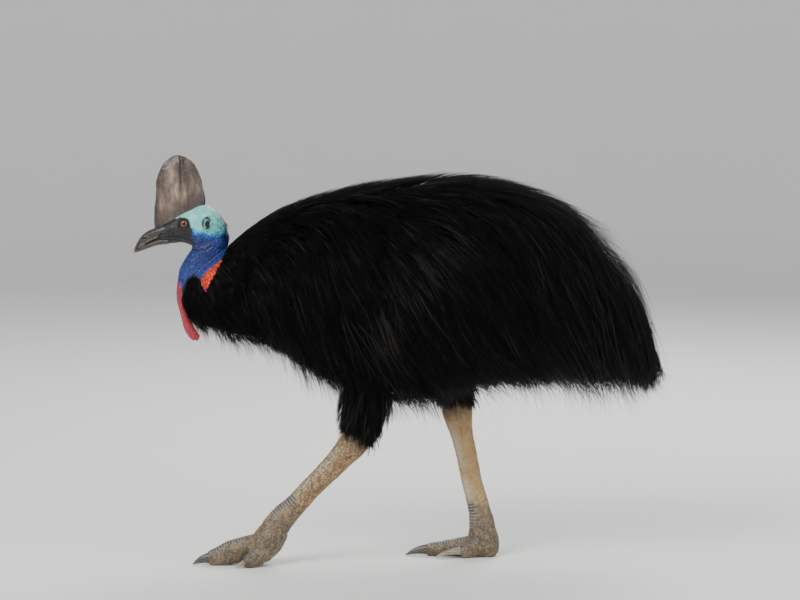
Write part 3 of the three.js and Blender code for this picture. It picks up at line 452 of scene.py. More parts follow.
def grain(points, size):
    """Smooth noise from -1 to 1 with lumps of the given size."""
    p = np.asarray(points, float) / size
    base = np.floor(p)
    f = p - base
    f = f * f * (3 - 2 * f)
    total = np.zeros(len(p))
    for corner in np.ndindex(2, 2, 2):
        weight = np.prod(np.where(corner, f, 1 - f), axis=1)
        total += weight * hashed(base + corner)
    return total * 2 - 1


def layered(points, size, layers=3):
    return sum(grain(points + 31.7 * n, size / 2 ** n) / 2 ** n for n in range(layers)) / 1.6


def pebbles(points, size):
    """How far each place lies towards its own pebble's edge (0 middle, 1 edge), and the pebble's draw."""
    p = np.asarray(points, float) / size
    base = np.floor(p)
    first = np.full(len(p), 9.0)
    second = np.full(len(p), 9.0)
    draw = np.zeros(len(p))
    for corner in np.ndindex(3, 3, 3):
        cell = base + np.array(corner) - 1
        seed = np.stack([hashed(cell, n) for n in (1, 2, 3)], 1)
        away = np.linalg.norm(cell + seed - p, axis=1)
        nearer = away < first
        second = np.where(nearer, first, np.minimum(second, away))
        draw = np.where(nearer, hashed(cell, 5), draw)
        first = np.where(nearer, away, first)
    return first / np.maximum(second, 1e-6), draw


def outside(points, outline):
    """Signed distance in x and z from an outline: below 0 inside it."""
    x, z = points[:, 0], points[:, 2]
    near = np.full(len(points), FAR_AWAY)
    inside = np.zeros(len(points), bool)
    for (ax, az), (bx, bz) in zip(outline, outline[1:] + outline[:1]):
        ex, ez = bx - ax, bz - az
        t = np.clip(((x - ax) * ex + (z - az) * ez) / (ex * ex + ez * ez), 0, 1)
        near = np.minimum(near, np.hypot(x - ax - t * ex, z - az - t * ez))
        if az != bz:
            crosses = (az > z) != (bz > z)
            inside ^= crosses & (x < ax + (z - az) * ex / ez)
    return np.where(inside, -near, near)


def beside(points, path):
    """Distance in x and z from an open path."""
    x, z = points[:, 0], points[:, 2]
    near = np.full(len(points), FAR_AWAY)
    for (ax, az), (bx, bz) in zip(path, path[1:]):
        ex, ez = bx - ax, bz - az
        t = np.clip(((x - ax) * ex + (z - az) * ez) / (ex * ex + ez * ez), 0, 1)
        near = np.minimum(near, np.hypot(x - ax - t * ex, z - az - t * ez))
    return near


# Meshes

def mesh_of(name, points, faces):
    """A mesh from points in metres and faces that all have the same number of corners."""
    mesh = bpy.data.meshes.new(name)
    mesh.vertices.add(len(points))
    mesh.vertices.foreach_set("co", np.ascontiguousarray(points, np.float32).ravel())
    mesh.loops.add(faces.size)
    mesh.loops.foreach_set("vertex_index", faces.astype(np.int32).ravel())
    mesh.polygons.add(len(faces))
    mesh.polygons.foreach_set("loop_start", np.arange(0, faces.size, faces.shape[1], dtype=np.int32))
    mesh.update(calc_edges=True)
    mesh.shade_smooth()
    return mesh


def object_of(name, mesh, finish, slot=None, nodes=()):
    piece = bpy.data.objects.new(name, mesh)
    bpy.context.scene.collection.objects.link(piece)
    if finish:
        mesh.materials.clear()
        mesh.materials.append(finish)
    if slot:
        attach(piece, "root")
    if nodes:
        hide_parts(*nodes)
    return piece


def sheet_faces(rows, around):
    """Triangles of a tube of rings, each with the same number of points."""
    i = np.arange(rows - 1)[:, None] * around
    j = np.arange(around)[None, :]
    k = (j + 1) % around
    a, b, c, d = i + j, i + k, i + around + k, i + around + j
    return np.concatenate([np.stack([a, b, c], -1).reshape(-1, 3), np.stack([a, c, d], -1).reshape(-1, 3)])


def closed_tube(rings):
    """Points and triangles of a tube of rings (rows, around, 3), with both ends closed."""
    rows, around = rings.shape[:2]
    ends = np.stack([rings[0].mean(0), rings[-1].mean(0)])
    points = np.concatenate([rings.reshape(-1, 3), ends])
    j = np.arange(around)
    k = (j + 1) % around
    n = rows * around
    first = np.stack([np.full(around, n), k, j], 1)
    last = np.stack([np.full(around, n + 1), n - around + j, n - around + k], 1)
    return points, np.concatenate([sheet_faces(rows, around), first, last])


def outward(points, faces):
    """The faces, turned round where the surface was inside out."""
    a, b, c = (points[faces[:, n]] for n in range(3))
    volume = np.einsum("ij,ij->i", a, np.cross(b, c)).sum()
    return faces if volume > 0 else faces[:, ::-1]


def joined(parts):
    """Several closed surfaces as one list of points and faces."""
    points = []
    faces = []
    count = 0
    for p, f in parts:
        points.append(p)
        faces.append(outward(p, f) + count)
        count += len(p)
    return np.concatenate(points), np.concatenate(faces)


def fused(name, parts, voxel, smoothing=6):
    """One skin round several closed surfaces, with even faces."""
    points, faces = joined(parts)
    mesh = mesh_of(name + "_form", placed(points), faces)
    form = bpy.data.objects.new(name + "_form", mesh)
    bpy.context.scene.collection.objects.link(form)
    remesh = form.modifiers.new("skin", "REMESH")
    remesh.mode = "VOXEL"
    remesh.voxel_size = voxel
    relax = form.modifiers.new("relax", "SMOOTH")
    relax.factor = 0.5
    relax.iterations = smoothing
    graph = bpy.context.evaluated_depsgraph_get()
    made = bpy.data.meshes.new_from_object(form.evaluated_get(graph))
    made.name = name
    bpy.data.objects.remove(form)
    made.shade_smooth()
    return made


def points_of(mesh):
    """The mesh's points in the bird's own millimetres, and the directions out of its surface."""
    co = np.zeros(len(mesh.vertices) * 3, np.float32)
    mesh.vertices.foreach_get("co", co)
    out = np.zeros(len(mesh.vertices) * 3, np.float32)
    mesh.vertex_normals.foreach_get("vector", out)
    return (co.reshape(-1, 3).astype(float) - SHIFT) / MM, out.reshape(-1, 3).astype(float)


def move_points(mesh, points):
    mesh.vertices.foreach_set("co", placed(points).astype(np.float32).ravel())
    mesh.update()


def mark(mesh, name, values):
    layer = mesh.attributes.new(name, "FLOAT", "POINT")
    layer.data.foreach_set("value", np.asarray(values, np.float32))


def marks(mesh, **values):
    for name, value in values.items():
        mark(mesh, name, value)


def tube_mesh(name, rings, floor=None):
    """A mesh of a closed tube of rings, pressed flat where it would go below the floor."""
    points, faces = closed_tube(rings)
    if floor is not None:
        points[:, 2] = np.maximum(points[:, 2], floor)
    return mesh_of(name, placed(points), outward(points, faces))


def lay_out(mesh, uv):
    """The mesh's bake map, from one place of the unwrap for each point."""
    layer = mesh.uv_layers.new(name="OFBake")
    corner = np.zeros(len(mesh.loops), np.int32)
    mesh.loops.foreach_get("vertex_index", corner)
    layer.data.foreach_set("uv", uv[corner].astype(np.float32).ravel())


# Tubes, ovals and lofts of the animal's parts

STATIONS_APART = 60
LIMB_END = 0.7
LIMB_CAP = np.sin(np.linspace(0, np.pi / 2, 7))[1:-1]


def oval(center, u, v, a, b, angles, squareness=1.0):
    c = np.cos(angles)
    s = np.sin(angles)
    c = np.sign(c) * np.abs(c) ** squareness
    s = np.sign(s) * np.abs(s) ** squareness
    return (center[:, None] + (a[:, None] * c)[..., None] * u[:, None]
            + (b[:, None] * s)[..., None] * v[:, None])


class Limb:
    """A limb through stations (x, y, z, half across, half front to back), its front towards a direction."""

    def __init__(self, stations, front=FORWARD):
        self.path = Line([s[:3] for s in stations])
        self.sizes = Line([(i * STATIONS_APART, s[3], s[4]) for i, s in enumerate(stations)])
        self.front = np.asarray(front, float)
        self.long = self.path.length()

    def frame(self, t):
        way = self.path.way(t)
        side = unit(np.cross(way, self.front))
        size = self.sizes.at(t)
        return self.path.at(t), way, side, np.cross(side, way), size[..., 1], size[..., 2]

    def surface(self, rows, around, grow=0.0, floor=None):
        """A closed tube round the limb, with rounded ends."""
        center, way, side, ahead, across, deep = self.frame(np.linspace(0, 1, rows))
        angles = circle(around)
        rings = [oval(center, side, ahead, across + grow, deep + grow, angles)]
        for end, sign in ((0, -1), (-1, 1)):
            reach = min(across[end], deep[end]) * LIMB_END + grow
            steps = LIMB_CAP if sign > 0 else LIMB_CAP[::-1]
            narrow = np.sqrt(1 - steps ** 2)
            middle = center[end] + sign * reach * steps[:, None] * way[end]
            cap = oval(middle, same(side[end], len(steps)), same(ahead[end], len(steps)),
                       (across[end] + grow) * narrow, (deep[end] + grow) * narrow, angles)
            rings = [*rings, cap] if sign > 0 else [cap, *rings]
        found = np.concatenate(rings)
        if floor is not None:
            found[..., 2] = np.maximum(found[..., 2], floor)
        return closed_tube(found)

    def place(self, points, samples=160):
        """For each point: t and angle of the nearest place on the limb, and its depth as a share."""
        t = np.linspace(0, 1, samples)
        center, _, side, ahead, across, deep = self.frame(t)
        index, _ = nearest(points, center)
        off = points - center[index]
        a = np.einsum("ij,ij->i", off, side[index]) / across[index]
        b = np.einsum("ij,ij->i", off, ahead[index]) / deep[index]
        return t[index], np.arctan2(b, a), np.hypot(a, b)


def lengthwise(sections, rows, around, squareness=0.92):
    """Rings of a form along x through (x, top z, bottom z, half width)."""
    x, top, bottom, half = Line(sections).at(np.linspace(0, 1, rows)).T
    center = np.stack([x, np.zeros(rows), (top + bottom) / 2], 1)
    angles = (np.arange(around) + 0.5) * 2 * np.pi / around
    return oval(center, same(ACROSS, rows), same(UP, rows), half, (top - bottom) / 2, angles, squareness)


def ball(center, radius, around, tall=1.0):
    """A closed ball, stretched upwards."""
    high = np.linspace(0, np.pi, around // 2 + 1)[1:-1]
    angles = circle(around)
    rings = np.stack([
        np.sin(high)[:, None] * np.cos(angles), np.sin(high)[:, None] * np.sin(angles),
        np.repeat(np.cos(high)[:, None], around, 1),
    ], -1)
    return closed_tube(rings * np.array((radius, radius, radius * tall)) + np.asarray(center))


def neck_rings(rows, around):
    line = Line([(*front, *back, half) for front, back, half in NECK_SECTIONS])
    fx, fz, bx, bz, half = line.at(np.linspace(0, 1, rows)).T
    front = np.stack([fx, np.zeros(rows), fz], 1)
    back = np.stack([bx, np.zeros(rows), bz], 1)
    deep = np.linalg.norm(front - back, axis=1) / 2
    return oval((front + back) / 2, unit(front - back), same(ACROSS, rows), deep, half, circle(around))


def wattle_limb(side):
    ahead = FAR_WATTLE_AHEAD if side < 0 else 0
    top = WATTLE[0][2]
    return Limb([(x - ahead * min(1, (top - z) / 60), side * y, z, a, b) for x, y, z, a, b in WATTLE])


def body_rings(start, end, rows, around, lift):
    """Rings of the body's skin; lift is one number, or one for each ring."""
    s = np.linspace(start, end, rows)[:, None].repeat(around, 1)
    turn = circle(around)[None].repeat(rows, 0)
    return body_point(s, turn, np.broadcast_to(np.reshape(lift, (-1, 1)), s.shape))


# Finishes

class Finish:
    """A finish made of nodes, from the surface's own places and marks."""

    def __init__(self, name, roughness, **fixed):
        self.made = bpy.data.materials.new(name)
        self.made.use_nodes = True
        self.tree = self.made.node_tree
        self.shader = self.tree.nodes["Principled BSDF"]
        self.shader.inputs["Roughness"].default_value = roughness
        for socket, value in fixed.items():
            self.shader.inputs[socket.replace("_", " ")].default_value = value

    def add(self, kind, inputs, **settings):
        node = self.tree.nodes.new("ShaderNode" + kind)
        for key, value in settings.items():
            setattr(node, key, value)
        for key, value in inputs.items():
            self.feed(node.inputs[key], value)
        return node

    def feed(self, socket, value):
        if isinstance(value, bpy.types.NodeSocket):
            self.tree.links.new(value, socket)
        elif socket.type == "RGBA":
            socket.default_value = (*value, 1.0)
        else:
            socket.default_value = value

    def places(self, size, stretch=(1, 1, 1)):
        """The surface's own places, in lumps of a size in metres."""
        spot = self.add("TexCoord", {}).outputs["Object"]
        scale = tuple(1 / (size * way) for way in stretch)
        return self.add("Mapping", {"Vector": spot, "Scale": scale}).outputs["Vector"]

    def noise(self, size, detail=4.0, rough=0.55, stretch=(1, 1, 1), vector=None):
        spot = vector or self.places(size, stretch)
        inputs = {"Vector": spot, "Scale": 1.0, "Detail": detail, "Roughness": rough}
        return self.add("TexNoise", inputs).outputs["Fac"]

    def mark(self, name):
        return self.add("Attribute", {}, attribute_name=name).outputs["Fac"]

    def remap(self, value, low, high, to_low=0.0, to_high=1.0):
        inputs = {"Value": value, "From Min": low, "From Max": high, "To Min": to_low, "To Max": to_high}
        return self.add("MapRange", inputs, clamp=True).outputs["Result"]

    def patches(self, size, detail, low, high, to_low=0.0, to_high=1.0, rough=0.55):
        """Noise in lumps of a size in metres, remapped."""
        return self.remap(self.noise(size, detail, rough), low, high, to_low, to_high)

    def marked(self, name, low, high, to_low=0.0, to_high=1.0):
        """One of the mesh's marks, remapped."""
        return self.remap(self.mark(name), low, high, to_low, to_high)

    def plus(self, a, b):
        return self.add("Math", {0: a, 1: b}, operation="ADD").outputs[0]

    def times(self, a, b):
        return self.add("Math", {0: a, 1: b}, operation="MULTIPLY").outputs[0]

    def blend(self, share, a, b):
        node = self.add("Mix", {}, data_type="RGBA", blend_type="MIX")
        self.feed(node.inputs[0], share)
        self.feed(node.inputs[6], a)
        self.feed(node.inputs[7], b)
        return node.outputs[2]

    def ramp(self, value, stops):
        node = self.add("ValToRGB", {"Fac": value})
        band = node.color_ramp
        while len(band.elements) < len(stops):
            band.elements.new(0.5)
        for element, (at, color) in zip(band.elements, stops):
            element.position = at
            element.color = (*color, 1.0)
        return node.outputs["Color"]

    def rough(self, value):
        self.feed(self.shader.inputs["Roughness"], value)

    def bump(self, height, distance, strength=1.0):
        inputs = {"Height": height, "Distance": distance, "Strength": strength}
        before = self.shader.inputs["Normal"]
        if before.is_linked:
            inputs["Normal"] = before.links[0].from_socket
        self.feed(before, self.add("Bump", inputs).outputs["Normal"])

    def colored(self, color):
        self.feed(self.shader.inputs["Base Color"], color)
        return self.made


def head_finish(skin):
    f = Finish("head_skin", 0.46, Specular_IOR_Level=0.32)
    crown = tuple(skin.crown)
    throat = tuple(skin.throat)
    color = f.ramp(f.plus(f.mark("crown"), f.patches(0.004, 3, 0.3, 0.7, -0.14, 0.14)), [
        (0.0, throat), (0.3, mixed(throat, (0.02, 0.2, 0.62), 0.6)), (0.52, (0.04, 0.36, 0.62)),
        (0.75, mixed(crown, (0.05, 0.45, 0.6), 0.45)), (1.0, crown),
    ])
    powder = f.times(f.patches(0.018, 3, 0.45, 0.75), f.marked("crown", 0.6, 1.0, 0, 0.55))
    color = f.blend(powder, color, (0.5, 0.8, 0.7))
    speck = f.times(f.marked("draw", 0.66, 0.95, 0, 0.85), f.marked("edge", 0.15, 0.6, 1, 0))
    color = f.blend(speck, color, (0.12, 0.27, 0.7))
    streak = f.times(f.mark("streak"), f.patches(0.006, 4, 0.35, 0.6))
    color = f.blend(f.times(streak, 0.3), color, (0.1, 0.32, 0.68))
    color = f.blend(f.mark("fall"), color, (0.034, 0.068, 0.4))
    # Darker pebble edges: partly the skin's own dark lines, partly painted shade in the grooves between
    # pebbles.
    color = f.blend(f.marked("edge", 0.4, 0.85, 0, 0.9), color, (0.006, 0.014, 0.055))
    nape = f.ramp(f.plus(f.mark("low"), f.patches(0.008, 3, 0.3, 0.7, -0.25, 0.25)), [
        (0.0, tuple(skin.nape)), (0.55, (0.6, 0.03, 0.006)), (1.0, (0.5, 0.025, 0.07)),
    ])
    nape = f.blend(f.marked("bulb", 0.6, 0.95, 0, 0.7), nape, (0.88, 0.1, 0.006))
    nape = f.blend(f.marked("bulb", 0.0, 0.35, 0.6, 0), nape, (0.5, 0.015, 0.004))
    # Darker between the warts: partly the skin's own colour, partly painted shade in the grooves.
    nape = f.blend(f.marked("edge", 0.62, 1.0, 0, 0.9), nape, (0.1, 0.004, 0.003))
    color = f.blend(f.mark("nape"), color, nape)
    lobe = f.blend(f.patches(0.004, 4, 0.38, 0.7), tuple(skin.wattle), (0.52, 0.08, 0.09))
    # Darker between the lobes: partly the skin's own colour, partly painted shade in the grooves.
    lobe = f.blend(f.marked("edge", 0.45, 1.0, 0, 0.7), lobe, (0.2, 0.014, 0.022))
    color = f.blend(f.mark("wattle"), color, lobe)
    scuff = f.patches(0.0035, 5, 0.5, 0.74, 0, 0.75, rough=0.7)
    # Near-black lores; under the jaw this is partly dark skin, partly painted shadow.
    color = f.blend(f.mark("lores"), color, f.blend(scuff, (0.006, 0.006, 0.007), (0.1, 0.09, 0.078)))
    # Dark ear rims and back line, with painted shade in the jaw fold's crease.
    color = f.blend(f.mark("ring"), color, (0.007, 0.012, 0.014))
    # Painted shade inside the ear opening, dark with reddish patches.
    ear_hole_shade = f.blend(f.patches(0.005, 2, 0.45, 0.6), (0.012, 0.012, 0.02), (0.09, 0.012, 0.012))
    color = f.blend(f.mark("hole"), color, ear_hole_shade)
    color = f.blend(f.mark("under"), color, (0.006, 0.006, 0.007))
    f.bump(f.noise(0.0011, 3, 0.6), 0.00025, 0.7)
    return f.colored(color)


def casque_finish(horn):
    f = Finish("casque_horn", 0.36, Specular_IOR_Level=0.5, Coat_Weight=0.2, Coat_Roughness=0.25)
    across = f.mark("across")
    up = f.mark("up")

    def grained(across_by, up_by):
        inputs = {"X": f.times(across, across_by), "Y": f.times(up, up_by), "Z": f.mark("half")}
        return f.add("CombineXYZ", inputs).outputs[0]

    streaks = f.noise(1, 5, 0.62, vector=grained(22.0, 2.4))
    lines = f.noise(1, 4, 0.6, vector=grained(75.0, 8.0))
    broad = f.noise(0.034, 3, 0.6, stretch=(1, 1, 2.2))
    tone = f.plus(f.remap(broad, 0.32, 0.68, 0, 0.8), f.remap(streaks, 0.3, 0.7, 0, 0.2))
    color = f.ramp(tone, [
        (0.1, (0.026, 0.016, 0.012)), (0.42, tuple(horn.casque)), (0.7, (0.18, 0.124, 0.09)),
        (0.95, (0.35, 0.27, 0.21)),
    ])
    color = f.blend(f.remap(lines, 0.42, 0.72, 0.0, 0.3), color, (0.045, 0.032, 0.025))
    # Painted highlight: lighter towards the front of the sides.
    color = f.blend(f.mark("pale"), color, (0.34, 0.26, 0.2))
    color = f.blend(f.mark("shade"), color, (0.028, 0.018, 0.014))
    # Painted shade in the creases of the folds.
    color = f.blend(f.mark("fold"), color, (0.014, 0.01, 0.009))
    edge = f.remap(f.plus(across, f.patches(0.012, 3, 0.3, 0.7, -0.03, 0.03)), 0.0, 0.13, 0.85, 0)
    color = f.blend(edge, color, (0.02, 0.015, 0.013))
    foot = f.remap(f.plus(up, f.patches(0.012, 4, 0.3, 0.7, -0.06, 0.06)), 0.06, 0.3, 0.75, 0)
    color = f.blend(foot, color, (0.03, 0.022, 0.017))
    f.rough(f.remap(streaks, 0.3, 0.7, 0.48, 0.3))
    f.bump(lines, 0.0006, 0.8)
    f.bump(f.noise(0.0016, 4, 0.65), 0.0003, 0.6)
    return f.colored(color)


def bill_finish(horn):
    f = Finish("bill_horn", 0.34, Specular_IOR_Level=0.5)
    streaks = f.noise(0.02, 5, 0.65, stretch=(1, 0.18, 0.16))
    color = f.blend(f.remap(streaks, 0.4, 0.75), tuple(horn.bill), (0.062, 0.052, 0.042))
    worn = f.times(f.mark("edge"), f.patches(0.004, 4, 0.3, 0.62))
    color = f.blend(worn, color, (0.27, 0.2, 0.13))
    # Painted shade inside the nostril.
    color = f.blend(f.mark("dark"), color, (0.008, 0.008, 0.008))
    f.rough(f.remap(streaks, 0.3, 0.7, 0.42, 0.27))
    f.bump(f.noise(0.006, 5, 0.65, stretch=(1, 0.2, 0.16)), 0.0004, 0.7)
    return f.colored(color)


def eye_finish(horn):
    f = Finish("eye", 0.06, Specular_IOR_Level=0.35, Coat_Weight=0.2, Coat_Roughness=0.03)
    pupil = (0.002, 0.002, 0.002)
    color = f.ramp(f.plus(f.mark("away"), f.patches(0.0012, 4, 0.3, 0.7, -0.08, 0.08)), [
        (0.0, pupil), (0.4, pupil), (0.44, (0.19, 0.055, 0.017)),
        (0.55, tuple(horn.iris)), (0.68, (0.16, 0.05, 0.018)), (0.77, (0.008, 0.005, 0.004)),
    ])
    return f.colored(color)


def leg_finish(legs, name):
    f = Finish(name, 0.5, Specular_IOR_Level=0.4)
    warm = f.blend(f.patches(0.03, 4, 0.35, 0.65), tuple(legs.tan), (0.29, 0.145, 0.05))
    warm = f.blend(f.marked("draw", 0.3, 1.0, 0, 0.5), warm, (0.48, 0.36, 0.2))
    warm = f.blend(f.marked("draw", 0.0, 0.41, 0.75, 0), warm, (0.13, 0.08, 0.038))
    # Darker top of the shank: partly the skin's own dark brown, partly painted shadow under the body.
    brown = f.times(f.mark("joint"), f.patches(0.012, 4, 0.35, 0.6, 0.5, 0.95))
    warm = f.blend(brown, warm, (0.1, 0.066, 0.038))
    cool = f.blend(f.patches(0.02, 4, 0.4, 0.62), tuple(legs.grey), (0.25, 0.18, 0.1))
    cool = f.blend(f.marked("draw", 0.3, 1.0, 0, 0.35), cool, (0.24, 0.195, 0.14))
    cool = f.blend(f.marked("draw", 0.0, 0.4, 0.65, 0), cool, (0.05, 0.042, 0.035))
    low = f.plus(f.mark("low"), f.patches(0.03, 3, 0.3, 0.7, -0.2, 0.2))
    color = f.blend(f.remap(low, 0.25, 0.75), warm, cool)
    # Cream band down the shank's sides, partly a painted highlight.
    color = f.blend(f.mark("strip"), color, (0.47, 0.42, 0.29))
    # Darker net between the scales: partly the skin's own dark lines, partly painted shade in the crevices.
    color = f.blend(f.marked("edge", 0.6, 0.95, 0, 0.8), color, (0.055, 0.035, 0.02))
    plate = f.blend(f.mark("draw"), (0.03, 0.032, 0.039), (0.1, 0.095, 0.09))
    plate = f.blend(f.mark("rim"), plate, (0.27, 0.215, 0.15))
    color = f.blend(f.mark("plate"), color, plate)
    dust = f.patches(0.006, 5, 0.5, 0.8, 0, 0.3, rough=0.7)
    color = f.blend(dust, color, (0.36, 0.29, 0.2))
    f.bump(f.noise(0.0016, 4, 0.6), 0.0003, 0.6)
    return f.colored(color)


def claw_finish(name, dark, pale):
    f = Finish(name, 0.33, Specular_IOR_Level=0.5)
    streak = f.noise(0.012, 5, 0.65, stretch=(1.2, 0.3, 0.25))
    # Pale streaks and a paler tip: partly the horn's own colour, partly painted highlights.
    color = f.blend(f.remap(streak, 0.35, 0.68), dark, pale)
    color = f.blend(f.marked("along", 0.55, 1.0, 0, 0.5), color, pale)
    f.bump(streak, 0.0004, 0.6)
    return f.colored(color)


def plumage_finish(plumage):
    f = Finish("plumage", 0.46, Specular_IOR_Level=0.08)
    dark = tuple(plumage.dark)
    pale = tuple(plumage.pale)
    color = f.blend(f.marked("draw", 0.35, 0.95), dark, mixed(dark, pale, 0.14))
    # Hairs drawn past GLINT_DRAWS take the pale colour: painted highlights of hairs that catch the light.
    color = f.blend(f.marked("draw", *GLINT_DRAWS), color, pale)
    return f.colored(color)


def under_finish():
    f = Finish("plumage_skin", 0.7, Specular_IOR_Level=0.03)
    color = f.blend(f.noise(0.02, 4), (0.002, 0.002, 0.002), (0.006, 0.006, 0.007))
    f.bump(f.noise(0.004, 3), 0.001, 0.5)
    return f.colored(color)


def quill_finish():
    f = Finish("quill", 0.45, Specular_IOR_Level=0.1)
    color = f.blend(f.noise(0.01, 4), (0.003, 0.003, 0.0035), (0.014, 0.013, 0.0125))
    f.bump(f.noise(0.004, 3), 0.0002, 0.5)
    return f.colored(color)


# Head

def head_form():
    """The closed forms that make up head, neck, wattles, nape and the collar under the plumage."""
    rng = np.random.default_rng(SEED)
    sunk = mix(-0.5, 0.3, smooth(np.linspace(0.0, 0.2, 30), -0.02, 0.055))
    parts = [
        closed_tube(lengthwise(HEAD_SECTIONS, 60, 72)),
        closed_tube(neck_rings(60, 72)),
        closed_tube(body_rings(0.0, 0.2, 30, 72, sunk)),
    ]
    for side in SIDES.values():
        limb = wattle_limb(side)
        parts.append(limb.surface(70, 24))
        for _ in range(WATTLE_LOBES):
            t = 0.62 + 0.38 * rng.random()
            center, _, _, _, across, deep = limb.frame(t)
            angle = rng.random() * 2 * np.pi
            off = np.array([np.cos(angle) * deep * 0.8, 0, np.sin(angle) * deep * 0.5])
            radius = 1.8 + 2.2 * rng.random()
            out = (rng.random() - 0.5) * 2 * across * 0.7
            parts.append(ball(center + off + [0, out, 0], radius, 12))
    return parts + nape_bulbs(rng)


def on_flank(x, z, lift, side):
    """The place of the body's outside that lies at x and z, near the collar."""
    s, turn = np.meshgrid(np.linspace(0, 0.22, 60), np.linspace(0.05, 3.0, 110), indexing="ij")
    p = body_point(s, turn, np.full(s.shape, lift))
    away = np.hypot(p[..., 0] - x, p[..., 2] - z)
    found = p.reshape(-1, 3)[away.argmin()].copy()
    found[1] *= side
    return found


def nape_bulbs(rng):
    """Warts strewn over the orange patch of each side, none too near another."""
    bulbs = []
    for side in SIDES.values():
        tries = 0
        taken = []
        while len(taken) < NAPE_BULBS and tries < 1500:
            tries += 1
            x = mix(-490, -428, rng.random())
            z = mix(686, 772, rng.random())
            if outside(np.array([[x, 0, z]]), NAPE)[0] > -1.5:
                continue
            radius = 2.6 + 2.6 * rng.random()
            if any(np.hypot(x - bx, z - bz) < (radius + other) * 0.72 for bx, bz, other in taken):
                continue
            taken.append((x, z, radius))
            bulbs.append(ball(on_flank(x, z, 0.25, side), radius, 14, 1.1))
    return bulbs


def ear_place(p):
    """Places turned with the ear: their distance from its middle and from its hole, 1 at their edges."""
    x, z = p[:, 0] - EAR["x"], p[:, 2] - EAR["z"]
    ex = x * math.cos(EAR["tilt"]) + z * math.sin(EAR["tilt"])
    ez = z * math.cos(EAR["tilt"]) - x * math.sin(EAR["tilt"])
    from_ear = np.hypot(ex / (EAR["across"] * 0.86), ez / (EAR["high"] * 0.86))
    hx, hz = ex - EAR_HOLE["x"], ez - EAR_HOLE["z"]
    return from_ear, np.hypot(hx / EAR_HOLE["across"], hz / EAR_HOLE["high"])


def wattle_share(p):
    """1 on the wattles, 0 away from them."""
    wattle = np.zeros(len(p))
    for side in SIDES.values():
        _, _, depth = wattle_limb(side).place(p, 60)
        here = (p[:, 1] * -side > 2.0) & (depth < 1.7) & (p[:, 2] < 742)
        thick = smooth(p[:, 2], 742, 716)
        wattle = np.maximum(wattle, np.where(here, thick * (1 - smooth(depth, 1.25, 1.6)), 0))
    return wattle


